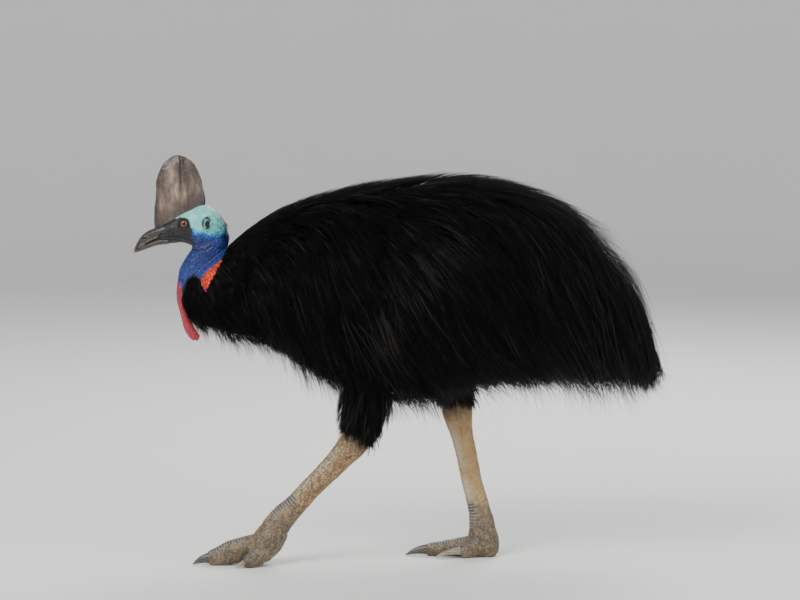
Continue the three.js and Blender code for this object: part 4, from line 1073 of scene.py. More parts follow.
def shape_head(mesh):
    """Raises lids, ear rims, lips, folds, pebbles and lobes, and marks the markings."""
    p, out = points_of(mesh)
    x, y, z = p.T
    flank = smooth(np.abs(y), 8, 16)
    from_eye = np.hypot(x - EYE["x"], z - EYE["z"])
    from_ear, from_hole = ear_place(p)
    mouth = beside(p, MOUTH)
    fold = beside(p, JAW_FOLD)

    wattle = wattle_share(p)
    wobble = grain(p, 5) * 1.6
    nape = (1 - smooth(outside(p, NAPE) + wobble, -1.0, 1.5)) * (1 - wattle)
    under = np.where(z < 655, 1.0, smooth(outside(p, BARE), -2.0, 2.0)) * (1 - wattle) * (1 - nape)
    lores = 1 - smooth(outside(p, LORES) + layered(p, 7, 3) * 3.0, -1.2, 1.8)
    lores *= smooth(z, 775, 786)
    line = (1 - smooth(np.abs(y) + 3 * wobble, 8, 15)) * smooth(out[:, 0], 0.2, 0.5)
    line *= 1 - smooth(z, 832, 850)
    crown = smooth(z - np.interp(x, *np.transpose(CROWN_EDGE)) + layered(p, 10, 3) * 6, -14, 26)
    blue = (1 - crown) * (1 - lores)

    front = Line([(f[0], 0, f[1]) for f, _, _ in NECK_SECTIONS]).at(np.linspace(0, 1, 30))
    from_front = beside(p, [(a[0], a[2]) for a in front])
    folds = np.sin((from_front + grain(p, 30) * 2) * 2 * np.pi / NECK_FOLDS_APART)
    streak = smooth(folds, 0.35, 0.95) * (1 - smooth(from_front, 20, 34))
    streak *= smooth(z, 690, 720) * (1 - smooth(z, 775, 795)) * (1 - wattle)

    edge, draw = pebbles(p * [1, 1, 1.1], 4.6)
    big_edge, big_draw = pebbles(p, 8.5)
    lobed = np.maximum(nape, wattle)
    edge = mix(edge, big_edge, lobed)
    draw = np.where(lobed > 0.5, big_draw, draw)

    rise = (1 - edge ** 2) - 0.5
    height = rise * mix(mix(mix(0.2, 0.75, blue), 0.7, wattle), 2.6, nape) * (1 - under)
    height += layered(p, 16, 3) * 0.5 + lores * layered(p * [0.6, 1, 1], 4, 3) * 0.8
    height += 0.3 * folds * (1 - smooth(from_front, 16, 30)) * (1 - smooth(z, 780, 800)) * (1 - wattle)
    lid = flank * (z > 800)
    height += lid * 2.1 * hump(from_eye, 12.6, 1.9)
    height -= lid * 0.9 * hump(from_eye, 17.5, 1.5)
    height -= lid * 2.5 * (1 - smooth(from_eye, 8, 11.5))
    height += lid * 2.2 * hump(from_ear, 1.02, 0.17)
    height -= lid * 5.5 * (1 - smooth(from_hole, 0.5, 1.15))
    height -= lid * 1.2 * (1 - smooth(from_ear, 0.5, 0.95))
    gape = smooth(np.abs(y), 5, 9)
    height -= gape * 1.8 * hump(mouth, 0, 1.1)
    height += gape * 0.9 * hump(mouth, 3.2, 1.5)
    height -= flank * 1.8 * hump(fold, 0, 1.7)
    height += flank * 1.4 * hump(fold, 5, 2.6)
    move_points(mesh, p + out * height[:, None])

    rearward = smooth(x + layered(p, 14, 2) * 8, -500, -438)
    ear_ring = np.clip(1.3 * hump(from_ear, 0.95, 0.23) * smooth(layered(p, 8, 3), -0.45, 0.1), 0, 1)
    marks(
        mesh,
        crown=crown,
        edge=edge * (1 - (0.75 - 0.55 * rearward) * crown * (1 - lobed)),
        draw=draw * blue,
        bulb=draw * nape,
        fall=0.7 * smooth(z + layered(p, 12, 2) * 8, 775, 735) * blue,
        streak=streak,
        low=smooth(z, 712, 688),
        nape=nape,
        wattle=wattle * smooth(z + layered(p, 9, 2) * 9, 716, 694),
        lores=np.maximum(lores, lid * (1 - smooth(from_eye, 13.5, 17))),
        # ring: dark ear rims and a dark line down the back of head and neck, with painted shade along the
        # jaw fold's crease.
        ring=np.maximum(np.maximum(ear_ring * lid, line), flank * hump(fold, 0, 1.6)),
        # hole: painted shade inside the ear opening.
        hole=lid * (1 - smooth(from_hole + layered(p, 5, 2) * 0.2, 0.9, 1.25)),
        under=under,
    )


def bristles(name, count):
    """Short hair-like feathers on the crown, round the ears and down the back of the neck."""
    rng = np.random.default_rng(SEED + 3)
    found = []
    line = Line(HEAD_SECTIONS)
    while len(found) < count:
        t = 0.3 + 0.66 * rng.random()
        x, top, bottom, half = line.at(t)
        angle = mix(0.02, 0.98, rng.random()) * np.pi
        side = 1 if rng.random() < 0.5 else -1
        c, s = math.cos(angle), math.sin(angle)
        root = np.array([x, side * half * abs(s) ** 0.92, (top + bottom) / 2 + (top - bottom) / 2 * c])
        near_ear = math.hypot((x - EAR["x"]) / 17, (root[2] - EAR["z"]) / 21)
        wanted = max(0.9 * math.exp(-(near_ear - 0.75) ** 2 * 12), 0.35 * smooth(x, -470, -432), 0.12)
        if root[2] < 800 or rng.random() > wanted or outside(root[None], LORES)[0] < 3:
            continue
        out = unit(np.array([0.0, side * s / half, c / (top - bottom) * 2]) * 30)
        way = unit(np.array([0.75, 0, -0.55]) + out * 0.35 + rng.normal(0, 0.15, 3))
        found.append((root - out * 0.5, way, mix(3.5, 8.5, rng.random())))
    roots, ways, lengths = (np.array(one) for one in zip(*found))
    run, sag = np.array(BRISTLE_STATIONS).T[:, None] * lengths[:, None]
    places = roots[:, None] + ways[:, None] * run[..., None] - UP * sag[..., None]
    sides = np.repeat(unit(np.cross(ways, UP))[:, None], len(BRISTLE_STATIONS), 1)
    outs = np.cross(sides, ways[:, None])
    uv = np.stack([0.1 + 0.8 * (roots[:, 0] + 610) / 190, 0.1 + 0.8 * (roots[:, 2] - 780) / 130], 1)
    return hair_mesh(name, places, sides, outs, np.full(count, 0.42), uv, rng.random(count) * 0.3)


def hair_mesh(name, places, sides, outs, width, uv, draw):
    """Closed, three-sided tapering hairs through places (count, stations, 3), in one mesh."""
    count, stations = places.shape[:2]
    taper = np.linspace(0, 1, stations)
    half = 0.5 * width[:, None] * (0.75 + 0.7 * taper - 1.25 * taper ** 2)
    corners = (places + sides * half[..., None], places - sides * half[..., None],
               places + outs * (half * 1.1)[..., None])
    rings = np.stack(corners, 2)[:, :-1]
    per = (stations - 1) * 3 + 1
    points = np.concatenate([rings.reshape(count, -1, 3), places[:, -1:]], 1).reshape(-1, 3)
    last = (stations - 2) * 3
    one = []
    for at in range(0, last, 3):
        for j in range(3):
            k = (j + 1) % 3
            one += [(at + j, at + k, at + 3 + k), (at + j, at + 3 + k, at + 3 + j)]
    one += [(last + j, last + (j + 1) % 3, per - 1) for j in range(3)]
    one = outward(points[:per], np.array([*one, (0, 2, 1)]))
    faces = (one[None] + (np.arange(count) * per)[:, None, None]).reshape(-1, 3)
    mesh = mesh_of(name, placed(points), faces)
    mark(mesh, "draw", np.repeat(draw, per))
    patch = np.concatenate([np.stack([
        np.tile([-0.0012, 0.0012, 0.0], stations - 1),
        np.repeat(np.linspace(-0.0015, 0.001, stations - 1), 3),
    ], 1), [[0.0, 0.0015]]])
    lay_out(mesh, (uv[:, None] + patch[None]).reshape(-1, 2))
    return mesh


# Casque, bill, eyes and claws

CLEAR = {"claw": 0.9, "scales": 0.6, "form": 1.2}


def casque_mesh():
    """The tall flattened helmet, with folds down its sides and a blunt edge in front."""
    top_x, top_z = CASQUE_TOP
    slices = [(*front, *rear, half) for front, rear, half in CASQUE_SLICES]
    slices.append((top_x - 3, top_z - 0.3, top_x + 3, top_z - 0.3, 1.5))
    rows, many = 150, 100
    high = np.linspace(0, 1, rows)
    fx, fz, rx, rz, half = Line(slices).at(high).T
    u = np.concatenate([np.linspace(0, 1, many), np.linspace(1, 0, many)[1:-1]])
    side = np.concatenate([-np.ones(many), np.ones(many - 2)])
    side[[0, many - 1]] = 0
    profile = 0.1 + 0.9 * np.sin(np.pi * u ** 1.25) ** 0.75
    rings = np.stack([
        mix(fx[:, None], rx[:, None], u), side * profile * half[:, None], mix(fz[:, None], rz[:, None], u),
    ], -1)
    mesh = tube_mesh("casque", rings)

    p, out = points_of(mesh)
    across = np.concatenate([np.tile(u, rows), [0.5, 0.5]])
    up = np.concatenate([np.repeat(high, len(u)), [0.0, 1.0]])
    half_of = np.sign(p[:, 1])
    body = smooth(across, 0.04, 0.14) * (1 - smooth(across, 0.9, 0.99)) * (1 - smooth(up, 0.86, 0.97))
    drift = grain(p, 26) * 0.012
    drift += grain(p, 9) * 0.008
    fold = hump(across - 0.57 + 0.03 * up + drift, 0, 0.02) * smooth(up, 0.28, 0.5)
    rear = sum(
        hump(across - at - 0.04 * (up - 0.5) + drift, 0, 0.013) * smooth(up, low, low + 0.3) * deep
        for at, low, deep in CASQUE_REAR_FOLDS
    )
    swell = hump(across, 0.5, 0.05) * smooth(up, 0.35, 0.6)
    ribs = grain(np.stack([across * 46, up * 3.2, half_of], 1), 1.0)
    height = body * (-2.6 * fold - 2.0 * rear + 1.3 * swell + 0.6 * ribs)
    height += layered(p, 24, 3) * 2.2 * smooth(up, 0.1, 0.45) + layered(p, 6, 2) * 0.3
    height += layered(p, 8, 2) * 0.9 * smooth(up, 0.75, 0.95)
    height -= 1.2 * hump(np.hypot(across - 0.3, (up - 0.5) * 1.4), 0, 0.13)
    move_points(mesh, p + out * height[:, None])

    soft = layered(p, 24, 3) * 0.1
    # pale is a painted highlight: a broad lighter zone towards the front of each side.
    pale = hump(across + soft, 0.33, 0.13)
    pale *= smooth(up + soft, 0.2, 0.4) * (1 - smooth(up, 0.86, 0.96))
    shade = smooth(across + soft, 0.55, 0.9) * (1 - smooth(up + soft, 0.2, 0.5))
    shade = np.maximum(shade, 0.7 * smooth(across + soft * 0.5, 0.86, 0.97))
    shade = np.maximum(shade, 0.5 * hump(across + soft, 0.5, 0.06) * smooth(up, 0.5, 0.8))
    marks(
        mesh,
        across=across,
        up=up,
        half=half_of,
        # Painted shade in the creases of the folds.
        fold=np.clip(fold + 0.7 * rear, 0, 1) * body,
        pale=0.3 * pale * smooth(layered(p, 13, 3), -0.8, 0.6),
        shade=0.75 * shade,
    )
    return mesh


def bill_mesh(name, sections, upper):
    """One half of the bill, with its lip; the upper half has the nostril."""
    mesh = tube_mesh(name, lengthwise(sections, 110, 88, 0.9))
    p, out = points_of(mesh)
    x, z = p[:, 0], p[:, 2]
    line_x, tops, bottoms, _ = Line(sections).at(np.linspace(0, 1, 200)).T
    order = np.argsort(line_x)
    low = np.interp(x, line_x[order], bottoms[order])
    high = np.interp(x, line_x[order], tops[order])
    share = (z - low) / np.maximum(high - low, 0.5)
    wide = smooth(x, -655, -640)
    height = layered(p * [0.35, 1, 1], 5, 3) * 0.28
    hole = np.zeros(len(p))
    if upper:
        rim = hump(share, 0.13, 0.08)
        height += wide * (0.75 * rim - 0.55 * hump(share, 0.27, 0.045))
        height += 0.5 * hump(p[:, 1], 0, 2.5) * smooth(share, 0.6, 0.95) * wide
        run = (x - NOSTRIL["x"]) / NOSTRIL["long"]
        slot = np.hypot(run, (z - NOSTRIL["z"] - run * NOSTRIL["rise"] * 3) / NOSTRIL["high"])
        hole = 1 - smooth(slot, 0.65, 1.25)
        height -= 2.6 * hole
        height += 0.7 * hump(slot, 1.7, 0.45) * smooth(share, 0.3, 0.5)
        height -= 1.2 * hump(np.hypot((x + 612) / 22, (share - 0.52) / 0.16), 0, 1)
        edge = rim * smooth(x, -652, -640) * (1 - smooth(x, -592, -578))
        edge = np.maximum(edge, 0.7 * (1 - smooth(x, -659, -650)))
    else:
        height -= wide * 0.6 * hump(share, 0.62, 0.06)
        edge = 0.3 * (1 - smooth(x, -656, -640))
    move_points(mesh, p + out * height[:, None])
    # dark: painted shade inside the nostril.
    marks(mesh, edge=edge, dark=hole)
    return mesh


def eye_mesh(name, side):
    """An eyeball, flatter than a ball, with the cornea's bulge on its outer side."""
    radius = EYE["radius"]
    center = np.array([EYE["x"], EYE["y"] * side, EYE["z"]])
    angles = circle(48)
    rings = np.stack([
        np.stack([
            np.sin(h) * np.cos(angles) * radius,
            np.full(len(angles), -side * np.cos(h) * EYE["deep"]),
            np.sin(h) * np.sin(angles) * radius,
        ], 1) + center
        for h in np.linspace(0, np.pi, 42)[1:-1]
    ])
    mesh = tube_mesh(name, rings)
    p, _ = points_of(mesh)
    away = np.hypot(p[:, 0] - EYE["x"], p[:, 2] - EYE["z"]) / radius
    bulge = hump(away, 0, 0.6) * 1.1 * (np.sign(-(p[:, 1] - center[1]) * side) > 0)
    move_points(mesh, p - np.outer(bulge, [0, side, 0]))
    marks(mesh, away=away)
    return mesh


def claw_mesh(name, bed, tip, half, rise):
    """A curved claw from the middle of its bed to its tip, flat where it would go into the floor."""
    a, b = np.array(bed, float), np.array(tip, float)
    way = unit(b - a)
    side = unit(np.cross(way, UP))
    up = np.cross(side, way)
    t = 1 - (1 - np.linspace(0, 1, 60)) ** 1.3
    center = a + (b - a) * t[:, None] + up * (rise * 4 * t * (1 - t))[:, None]
    size = half * (1 - t + 0.0005) ** 0.7
    angles = circle(36)
    rings = oval(center, same(side, 60), same(up, 60), size * 0.8, size, angles, 0.9)
    root = oval((a - way * 4)[None], side[None], up[None], size[:1] * 0.6, size[:1] * 0.8, angles, 0.9)
    floor = GROUND + CLEAR["claw"]
    mesh = tube_mesh(name, np.concatenate([root, rings]), floor)
    p, out = points_of(mesh)
    along = (p - a) @ way / np.linalg.norm(b - a)
    height = layered(p @ np.stack([way * 0.2, side, up], 1), 3.5, 3) * 0.35 + 0.5 * hump(along, 0.06, 0.05)
    moved = p + out * (height * (1 - smooth(along, 0.8, 1)))[:, None]
    moved[:, 2] = np.maximum(moved[:, 2], floor)
    move_points(mesh, moved)
    marks(mesh, along=along)
    return mesh


# Legs

TOES = ("middle", "inner", "outer")
SCUTE = {"pitch": 7.5, "raise": 1.7, "half": 31, "toe_half": 16, "from": 0.64, "samples": 260}
TOE_SCUTE = {"pitch": 6.5, "raise": 1.3, "spread": 0.75}
LEG_GREYS = (220, 60)


def leg_limbs(leg):
    limbs = {"shank": Limb(leg["shank"]), "pad": Limb(leg["pad"])}
    return {**limbs, **{toe: Limb(leg[toe], UP) for toe in TOES}}


def leg_form(leg):
    limbs = leg_limbs(leg)
    floor = GROUND + CLEAR["form"]
    parts = [limbs["shank"].surface(90, 60), limbs["pad"].surface(24, 60, floor=floor)]
    return parts + [limbs[toe].surface(50, 44, floor=floor) for toe in TOES]


def off_front(angle):
    """How far an angle on a limb lies from its front."""
    return np.abs(np.angle(np.exp(1j * (angle - np.pi / 2))))


def scutes(t, angle, long):
    """Overlapping plates down a toe: their height, share towards the lower edge, extent and draw."""
    run = t * long / TOE_SCUTE["pitch"]
    step = np.floor(run)
    share = run - step
    cell = np.stack([step, step * 0, step * 0 + 3], 1)
    reach = TOE_SCUTE["spread"] * (0.85 + 0.3 * hashed(cell))
    inside = 1 - smooth(off_front(angle), reach - 0.12, reach + 0.06)
    height = share ** 1.4 * (1 - smooth(share, 0.9, 1.0)) - 0.25
    return height * inside, share, inside, hashed(cell, 4)


def front_line(limbs):
    """The line down the front of the lower shank, over the foot and along the top of the middle toe."""
    line = []
    for name, low, high in (("shank", SCUTE["from"], 0.92), ("middle", 0.22, 1.0)):
        center, _, _, ahead, _, deep = limbs[name].frame(np.linspace(low, high, 12))
        line += list(center + ahead * deep[:, None])
    return Line(line)


def front_scutes(p, limbs):
    """The broad plates of shank, foot and middle toe: height, share towards the lower edge, extent, draw."""
    samples = front_line(limbs).at(np.linspace(0, 1, SCUTE["samples"]))
    index, away = nearest(p, samples)
    gone = np.concatenate([[0], np.cumsum(np.linalg.norm(np.diff(samples, axis=0), axis=1))])
    run = gone[index] / SCUTE["pitch"]
    step = np.floor(run)
    share = run - step
    cell = np.stack([step, step * 0 + 2, step * 0], 1)
    down = index / (SCUTE["samples"] - 1)
    reach = mix(SCUTE["half"], SCUTE["toe_half"], smooth(down, 0.35, 0.65))
    reach *= 0.8 + 0.4 * hashed(cell)
    inside = (1 - smooth(away, reach - 3.5, reach + 1.0)) * smooth(run, 0.5, 2.5)
    inside *= smooth(np.abs(down - 0.5), 0.03, 0.08)
    height = share ** 1.3 * (1 - smooth(share, 0.88, 1.0)) - 0.2
    return height, share, inside, hashed(cell, 4)


def shape_leg(mesh, leg):
    """Raises plates down the front and over the toes, small scales elsewhere, and pads under the toes."""
    p, out = points_of(mesh)
    limbs = leg_limbs(leg)
    best = np.full(len(p), FAR_AWAY)
    height, plate, rim, draw, strip, joint = np.zeros((6, len(p)))
    for name, limb in limbs.items():
        t, angle, depth = limb.place(p)
        nearer = depth < best
        best = np.where(nearer, depth, best)
        raised, share, inside, plate_draw = scutes(t, angle, limb.long)
        fade = smooth(t, 0.2, 0.35) * (name in ("inner", "outer"))
        height = np.where(nearer, raised * TOE_SCUTE["raise"] * fade, height)
        plate = np.where(nearer, inside * fade, plate)
        rim = np.where(nearer, smooth(share, 0.74, 0.86), rim)
        draw = np.where(nearer, plate_draw, draw)
        if name == "shank":
            # A cream band down each side of the shank: partly the scutes' own cream, partly painted
            # highlight where they catch the light.
            pale = hump(off_front(angle), 0.85, 0.42)
            pale *= smooth(t, 0.16, 0.34) * (1 - smooth(t, 0.6, 0.75))
            strip = np.where(nearer, pale * smooth(layered(p, 14, 3), -1.0, 0.4), 0) * 0.8
            # Top of the shank: dark brown skin and painted shadow under the body.
            joint = np.where(nearer, 1 - smooth(t + layered(p, 12, 2) * 0.05, 0.1, 0.26), 0)

    raised, share, inside, plate_draw = front_scutes(p, limbs)
    height = mix(height, raised * SCUTE["raise"], inside)
    plate = np.maximum(plate, inside)
    rim = np.where(inside > 0.3, smooth(share, 0.58, 0.72), rim)
    draw = np.where(inside > 0.3, plate_draw, draw)

    edge, cell_draw = pebbles(p * [1, 1, 0.85], 5.8)
    calm = leg["calm"] * smooth(p[:, 2] + layered(p, 30, 3) * 25, 70, 270)
    draw = np.where(plate > 0.5, draw, mix(cell_draw, 0.42, calm))
    scale = (1 - edge ** 2 - 0.5) * 0.7 * (1 - plate)
    pad = smooth(-out[:, 2], 0.3, 0.8) * (p[:, 2] < GROUND + 30)
    height += scale + layered(p, 12, 3) * 0.7 + pad * (1 - edge) * 0.8
    moved = p + out * height[:, None]
    moved[:, 2] = np.maximum(moved[:, 2], GROUND + CLEAR["scales"])
    move_points(mesh, moved)
    marks(
        mesh,
        plate=plate,
        rim=rim,
        draw=draw,
        edge=edge * (1 - plate) * (1 - 0.8 * calm),
        strip=strip,
        joint=joint,
        low=smooth(p[:, 2], *LEG_GREYS),
    )


# Plumage

# Regions of the coat along s: share of the plumes, stations and spread of the hairs, how thin they are,
# lift of their roots, and the nodes they replace
COAT = [
    {"name": "coat_neck", "from": 0.0, "to": 0.2, "share": 0.5, "stations": 3, "spread": 5.0, "thin": 0.75,
     "lift": 0.35, "nodes": ["neck_plumage"]},
    {"name": "coat_front", "from": 0.2, "to": 0.42, "share": 0.32, "stations": 4, "spread": 12.0,
     "thin": 1.0, "lift": 0.12, "nodes": ["torso"]},
    {"name": "coat_middle", "from": 0.42, "to": 0.68, "share": 0.36, "stations": 4, "spread": 14.0,
     "thin": 1.0, "lift": 0.12, "nodes": ["torso"]},
    {"name": "coat_rump", "from": 0.68, "to": 1.0, "share": 0.38, "stations": 4, "spread": 14.0,
     "thin": 1.0, "lift": 0.12, "nodes": ["tail", "torso"]},
]
THIGH_COAT = {
    "left": {"share": 0.12, "hem": 317, "hem_slope": 0.4},
    "right": {"share": 0.07, "hem": 388.0, "hem_slope": 0},
}

STEM_STEPS = 10

# Length of the plumes along s, as a share of the longest
LENGTHS = [
    (0, 0.08), (0.03, 0.13), (0.08, 0.22), (0.15, 0.34), (0.25, 0.55), (0.4, 0.8), (0.6, 1.0), (1.0, 1.0),
]

# Loose wisps: how many of the plumes by place, and how their hairs differ
WISP = {
    "belly": 0.36, "rear": 0.24, "back": 0.03, "longer": 1.25, "thinner": 0.7, "spread": 2.4,
    "rear_spread": 1.2,
}
REAR = (0.66, 0.82)
SKIRT_TIP = (670, 459)
WISPS_END = 686
BREAST_EDGE = [(-545, 668), (-530, 634), (-522, 618), (-506, 603), (-483, 588), (-440, 563)]

# Share of pale hairs, painted highlights of hairs that catch the light, over the whole coat, in a band down
# the flank and on the rump; a pale hair's draw lies above the ones named here
GLINTS = {"path": [(150, 805), (40, 680), (-60, 545)], "wide": 30, "all": 0.04, "band": 0.42, "rump": 0.1}
GLINT_DRAWS = (0.94, 0.985)


def plumage_outline():
    s = np.linspace(0, 1, 60)
    tops = [(x, z) for x, _, z in TOPS.at(s)]
    bottoms = [(x, z) for x, _, z in BOTTOMS.at(s)]
    return [*tops, SKIRT_TIP, *bottoms[::-1]]


def sow(count, low, high, rng):
    """Roots spread evenly over the body's skin between two ribs, as s and turn."""
    rows, around = 200, 360
    s, turn = np.meshgrid(
        np.linspace(low, high, rows), np.linspace(-np.pi, np.pi, around + 1)[:-1], indexing="ij")
    _, _, _, _, per_s, per_turn = body_frame(s, turn, np.full(s.shape, 0.2))
    share = per_s * per_turn
    total = np.cumsum(share.ravel())
    draws = (np.arange(count) + rng.random(count)) / count * total[-1]
    pick = np.minimum(np.searchsorted(total, draws), share.size - 1)
    s = s.ravel()[pick] + (rng.random(count) - 0.5) * (high - low) / rows
    return s, turn.ravel()[pick] + (rng.random(count) - 0.5) * 2 * np.pi / around


def stems(s, turn, length, low, high, swing):
    """Paths of plumes that follow the lie of the body, then hang free at the belly and the skirt."""
    steps = STEM_STEPS
    step = length / (steps - 1)
    here, _, _, root_out, _, _ = body_frame(s, turn, low)
    path = [here]
    loose = smooth(np.abs(turn), HANGS_FROM, HANGS_FROM + 0.25)
    way = None
    for k in range(1, steps):
        share = (k - 0.5) / (steps - 1)
        lift = mix(low, high, share ** 0.6)
        _, tailward, around, _, per_s, per_turn = body_frame(s, turn, lift)
        angle = lie(s, turn) + swing
        along = tailward * np.cos(angle)[:, None] + around * np.sin(angle)[:, None]
        way = unit(along + root_out * 0.25) if way is None else way
        s = s + np.cos(angle) * step / np.maximum(per_s, 60)
        turn = turn + np.sin(angle) * step / np.maximum(per_turn, 20)
        on_skin = body_point(s, turn, mix(low, high, (k / (steps - 1)) ** 0.6))
        free = path[-1] + step[:, None] * unit(way - UP * 0.2)
        loose = np.maximum(loose, smooth(np.abs(turn), HANGS_FROM, HANGS_FROM + 0.25))
        loose = np.maximum(loose, smooth(s, 0.98, 1.03))
        path.append(mix(on_skin, free, loose[:, None]))
        way = unit(path[-1] - path[-2])
    return np.stack(path, 1), root_out


def cut_short(paths, reach):
    """How much of each path stays within reach of the plumage's outline, and clear of the wattles."""
    count, steps = paths.shape[:2]
    flat = paths.reshape(-1, 3)
    beyond = outside(flat, plumage_outline()).reshape(count, steps) - reach[:, None]
    beyond = np.maximum(beyond, paths[..., 0] - WISPS_END)
    edge = np.interp(paths[..., 0], *np.transpose(BREAST_EDGE))
    beneath = np.maximum(beyond, edge - paths[..., 2] - reach[:, None])
    beyond = np.where(paths[..., 0] < BREAST_EDGE[-1][0], beneath, beyond)
    if paths[..., 0].min() < -480:
        for side in SIDES.values():
            _, _, depth = wattle_limb(side).place(flat, 50)
            near = (flat[:, 2] < 745) & (flat[:, 2] > 545)
            beyond = np.maximum(beyond, np.where(near, 8 * (1.5 - depth), -1).reshape(count, steps))
    keep = np.ones(count)
    for k in range(steps - 1, 0, -1):
        out_here = beyond[:, k] > 0
        before = np.minimum(beyond[:, k - 1], -0.01)
        crossing = (k - 1 + before / (before - np.maximum(beyond[:, k], 0.01))) / (steps - 1)
        keep = np.where(out_here, np.minimum(keep, crossing), keep)
    return keep


def along_paths(paths, share):
    """Places on each path at shares (count, stations) of its length."""
    steps = paths.shape[1]
    run = np.clip(share, 0, 1) * (steps - 1)
    i = np.minimum(run.astype(int), steps - 2)
    f = (run - i)[..., None]
    row = np.arange(len(paths))[:, None]
    return paths[row, i] * (1 - f) + paths[row, i + 1] * f


def hairs_on(paths, outs, reach, hairs, stations, spread, rng):
    """Fine hairs that leave each stem's root together and part towards its end."""
    count = len(paths)
    each = np.repeat(np.arange(count), hairs)
    keep = reach[each] * (0.62 + 0.38 * rng.random(len(each)) ** 0.6)
    spread = np.broadcast_to(spread, count)[each][:, None]
    share = np.linspace(0, 1, stations)[None] * keep[:, None]
    places = along_paths(paths[each], share)
    way = unit(np.gradient(places, axis=1))
    out = outs[each][:, None].repeat(stations, 1)
    side = unit(np.cross(way, out))
    out = np.cross(side, way)
    start = (rng.random((len(each), 2)) - 0.5) * 2 * spread
    end = rng.normal(0, 1, (len(each), 2)) * spread
    t = np.linspace(0, 1, stations)[None, :, None]
    off = start[:, None] * (1 - 0.2 * t) + end[:, None] * t ** 1.5 * 0.4
    places = places + side * off[..., :1] + out * off[..., 1:] * 0.25
    return places, side, out, each


def body_length(s, turn):
    """The length of the plumes rooted there, as a share of the longest."""
    return np.interp(s, *np.transpose(LENGTHS)) * mix(1.0, 0.8, smooth(np.abs(turn), 2.2, 2.9))


def region_plumes(region, plumage, less, rng):
    """The stems of one region that grow far enough: s, turn, path, way out, share kept, wisp or not."""
    count = int(plumage.plumes * region["share"]) // less
    s, turn = sow(count, region["from"], region["to"], rng)
    aside = np.abs(turn)
    length = body_length(s, turn) * plumage.length / MM * (0.75 + 0.4 * rng.random(count))
    often = np.where(aside > 1.9, WISP["belly"], np.where(s > 0.55, WISP["rear"], WISP["back"]))
    wisp = rng.random(count) < often
    length = np.where(wisp, length * WISP["longer"], length)
    top = 0.45 + 0.53 * rng.random(count) ** 0.8
    top = mix(top, 0.9 + 0.32 * top, 1 - smooth(aside, 0.5, 1.2))
    loose_top = mix(top, 1.7, smooth(s, 0.5, 0.75) * rng.random(count))
    top = np.where(wisp, loose_top, top * mix(1, 0.78, smooth(s, 0.7, 0.9)))
    swing = rng.normal(0, 0.09, count) + 0.12 * grain(np.stack([s * 1300, turn * 180, s * 0], 1), 90)
    paths, outs = stems(s, turn, length, np.full(count, region["lift"]), top, swing)

    far = rng.random(count)
    behind = smooth(s, *REAR) * (1 - 1.6 * smooth(s, 0.86, 0.97))
    low_side = np.maximum(smooth(aside, 1.2, 1.9), smooth(s, *REAR) * 0.7)
    body = 3 - 34 * low_side - 20 * behind + 38 * far ** 2 * low_side
    loose = 3 - 22 * low_side + (76 + 20 * behind) * far ** 2.2 * low_side
    reach = np.where(wisp, loose, body)
    reach += 22 * low_side * grain(np.stack([s * 1300, turn * 60, s * 0], 1), 60)
    keep = cut_short(paths, reach * smooth(s, 0.02, 0.3))
    bare = (outside(paths[:, 0], BARE) < 1.5) & (s < 0.3)
    good = (keep > 0.15) & ~bare
    return tuple(a[good] for a in (s, turn, paths, outs, keep, wisp))


def coat_pieces(plumage, finish, less):
    """All the hair-like plumage of neck, body and tail, in pieces by region and side."""
    rng = np.random.default_rng(SEED + 1)
    for region in COAT:
        s, turn, paths, outs, keep, wisp = region_plumes(region, plumage, less, rng)
        looser = WISP["spread"] + WISP["rear_spread"] * smooth(s, *REAR)
        spread = np.where(wisp, looser, 1) * region["spread"]
        places, side, out, each = hairs_on(
            paths, outs, keep, plumage.hairs, region["stations"], spread, rng)
        width = plumage.hair_width / MM * region["thin"] * (0.7 + 0.5 * rng.random(len(each)))
        width = np.where(wisp[each], width * WISP["thinner"], width)
        draw = 0.93 * rng.random(len(each))
        # Painted highlights: a share of the hairs everywhere, more in a band down the flank and on the rump,
        # take the pale colour.
        band = hump(beside(places[:, -2], GLINTS["path"]), 0, GLINTS["wide"])
        glint_share = GLINTS["all"] + GLINTS["band"] * band + GLINTS["rump"] * smooth(s[each], 0.6, 0.8)
        draw = np.where(rng.random(len(each)) < glint_share, 0.955 + 0.045 * draw, draw)
        uv = np.stack([0.05 + 0.9 * s[each], 0.5 + 0.47 * turn[each] / np.pi], 1)
        uv += rng.normal(0, 0.001, uv.shape)
        clear = np.ones(len(each), bool)
        if region["from"] == 0.0:
            clear = outside(places[:, -1], BARE) > -1.0
        for half, sign in SIDES.items():
            mine = clear & ((turn[each] > 0) == (sign > 0))
            name = f"{region['name']}_{half}"
            mesh = hair_mesh(name, *(a[mine] for a in (places, side, out, width, uv, draw)))
            object_of(name, mesh, finish, "plumage", region["nodes"])


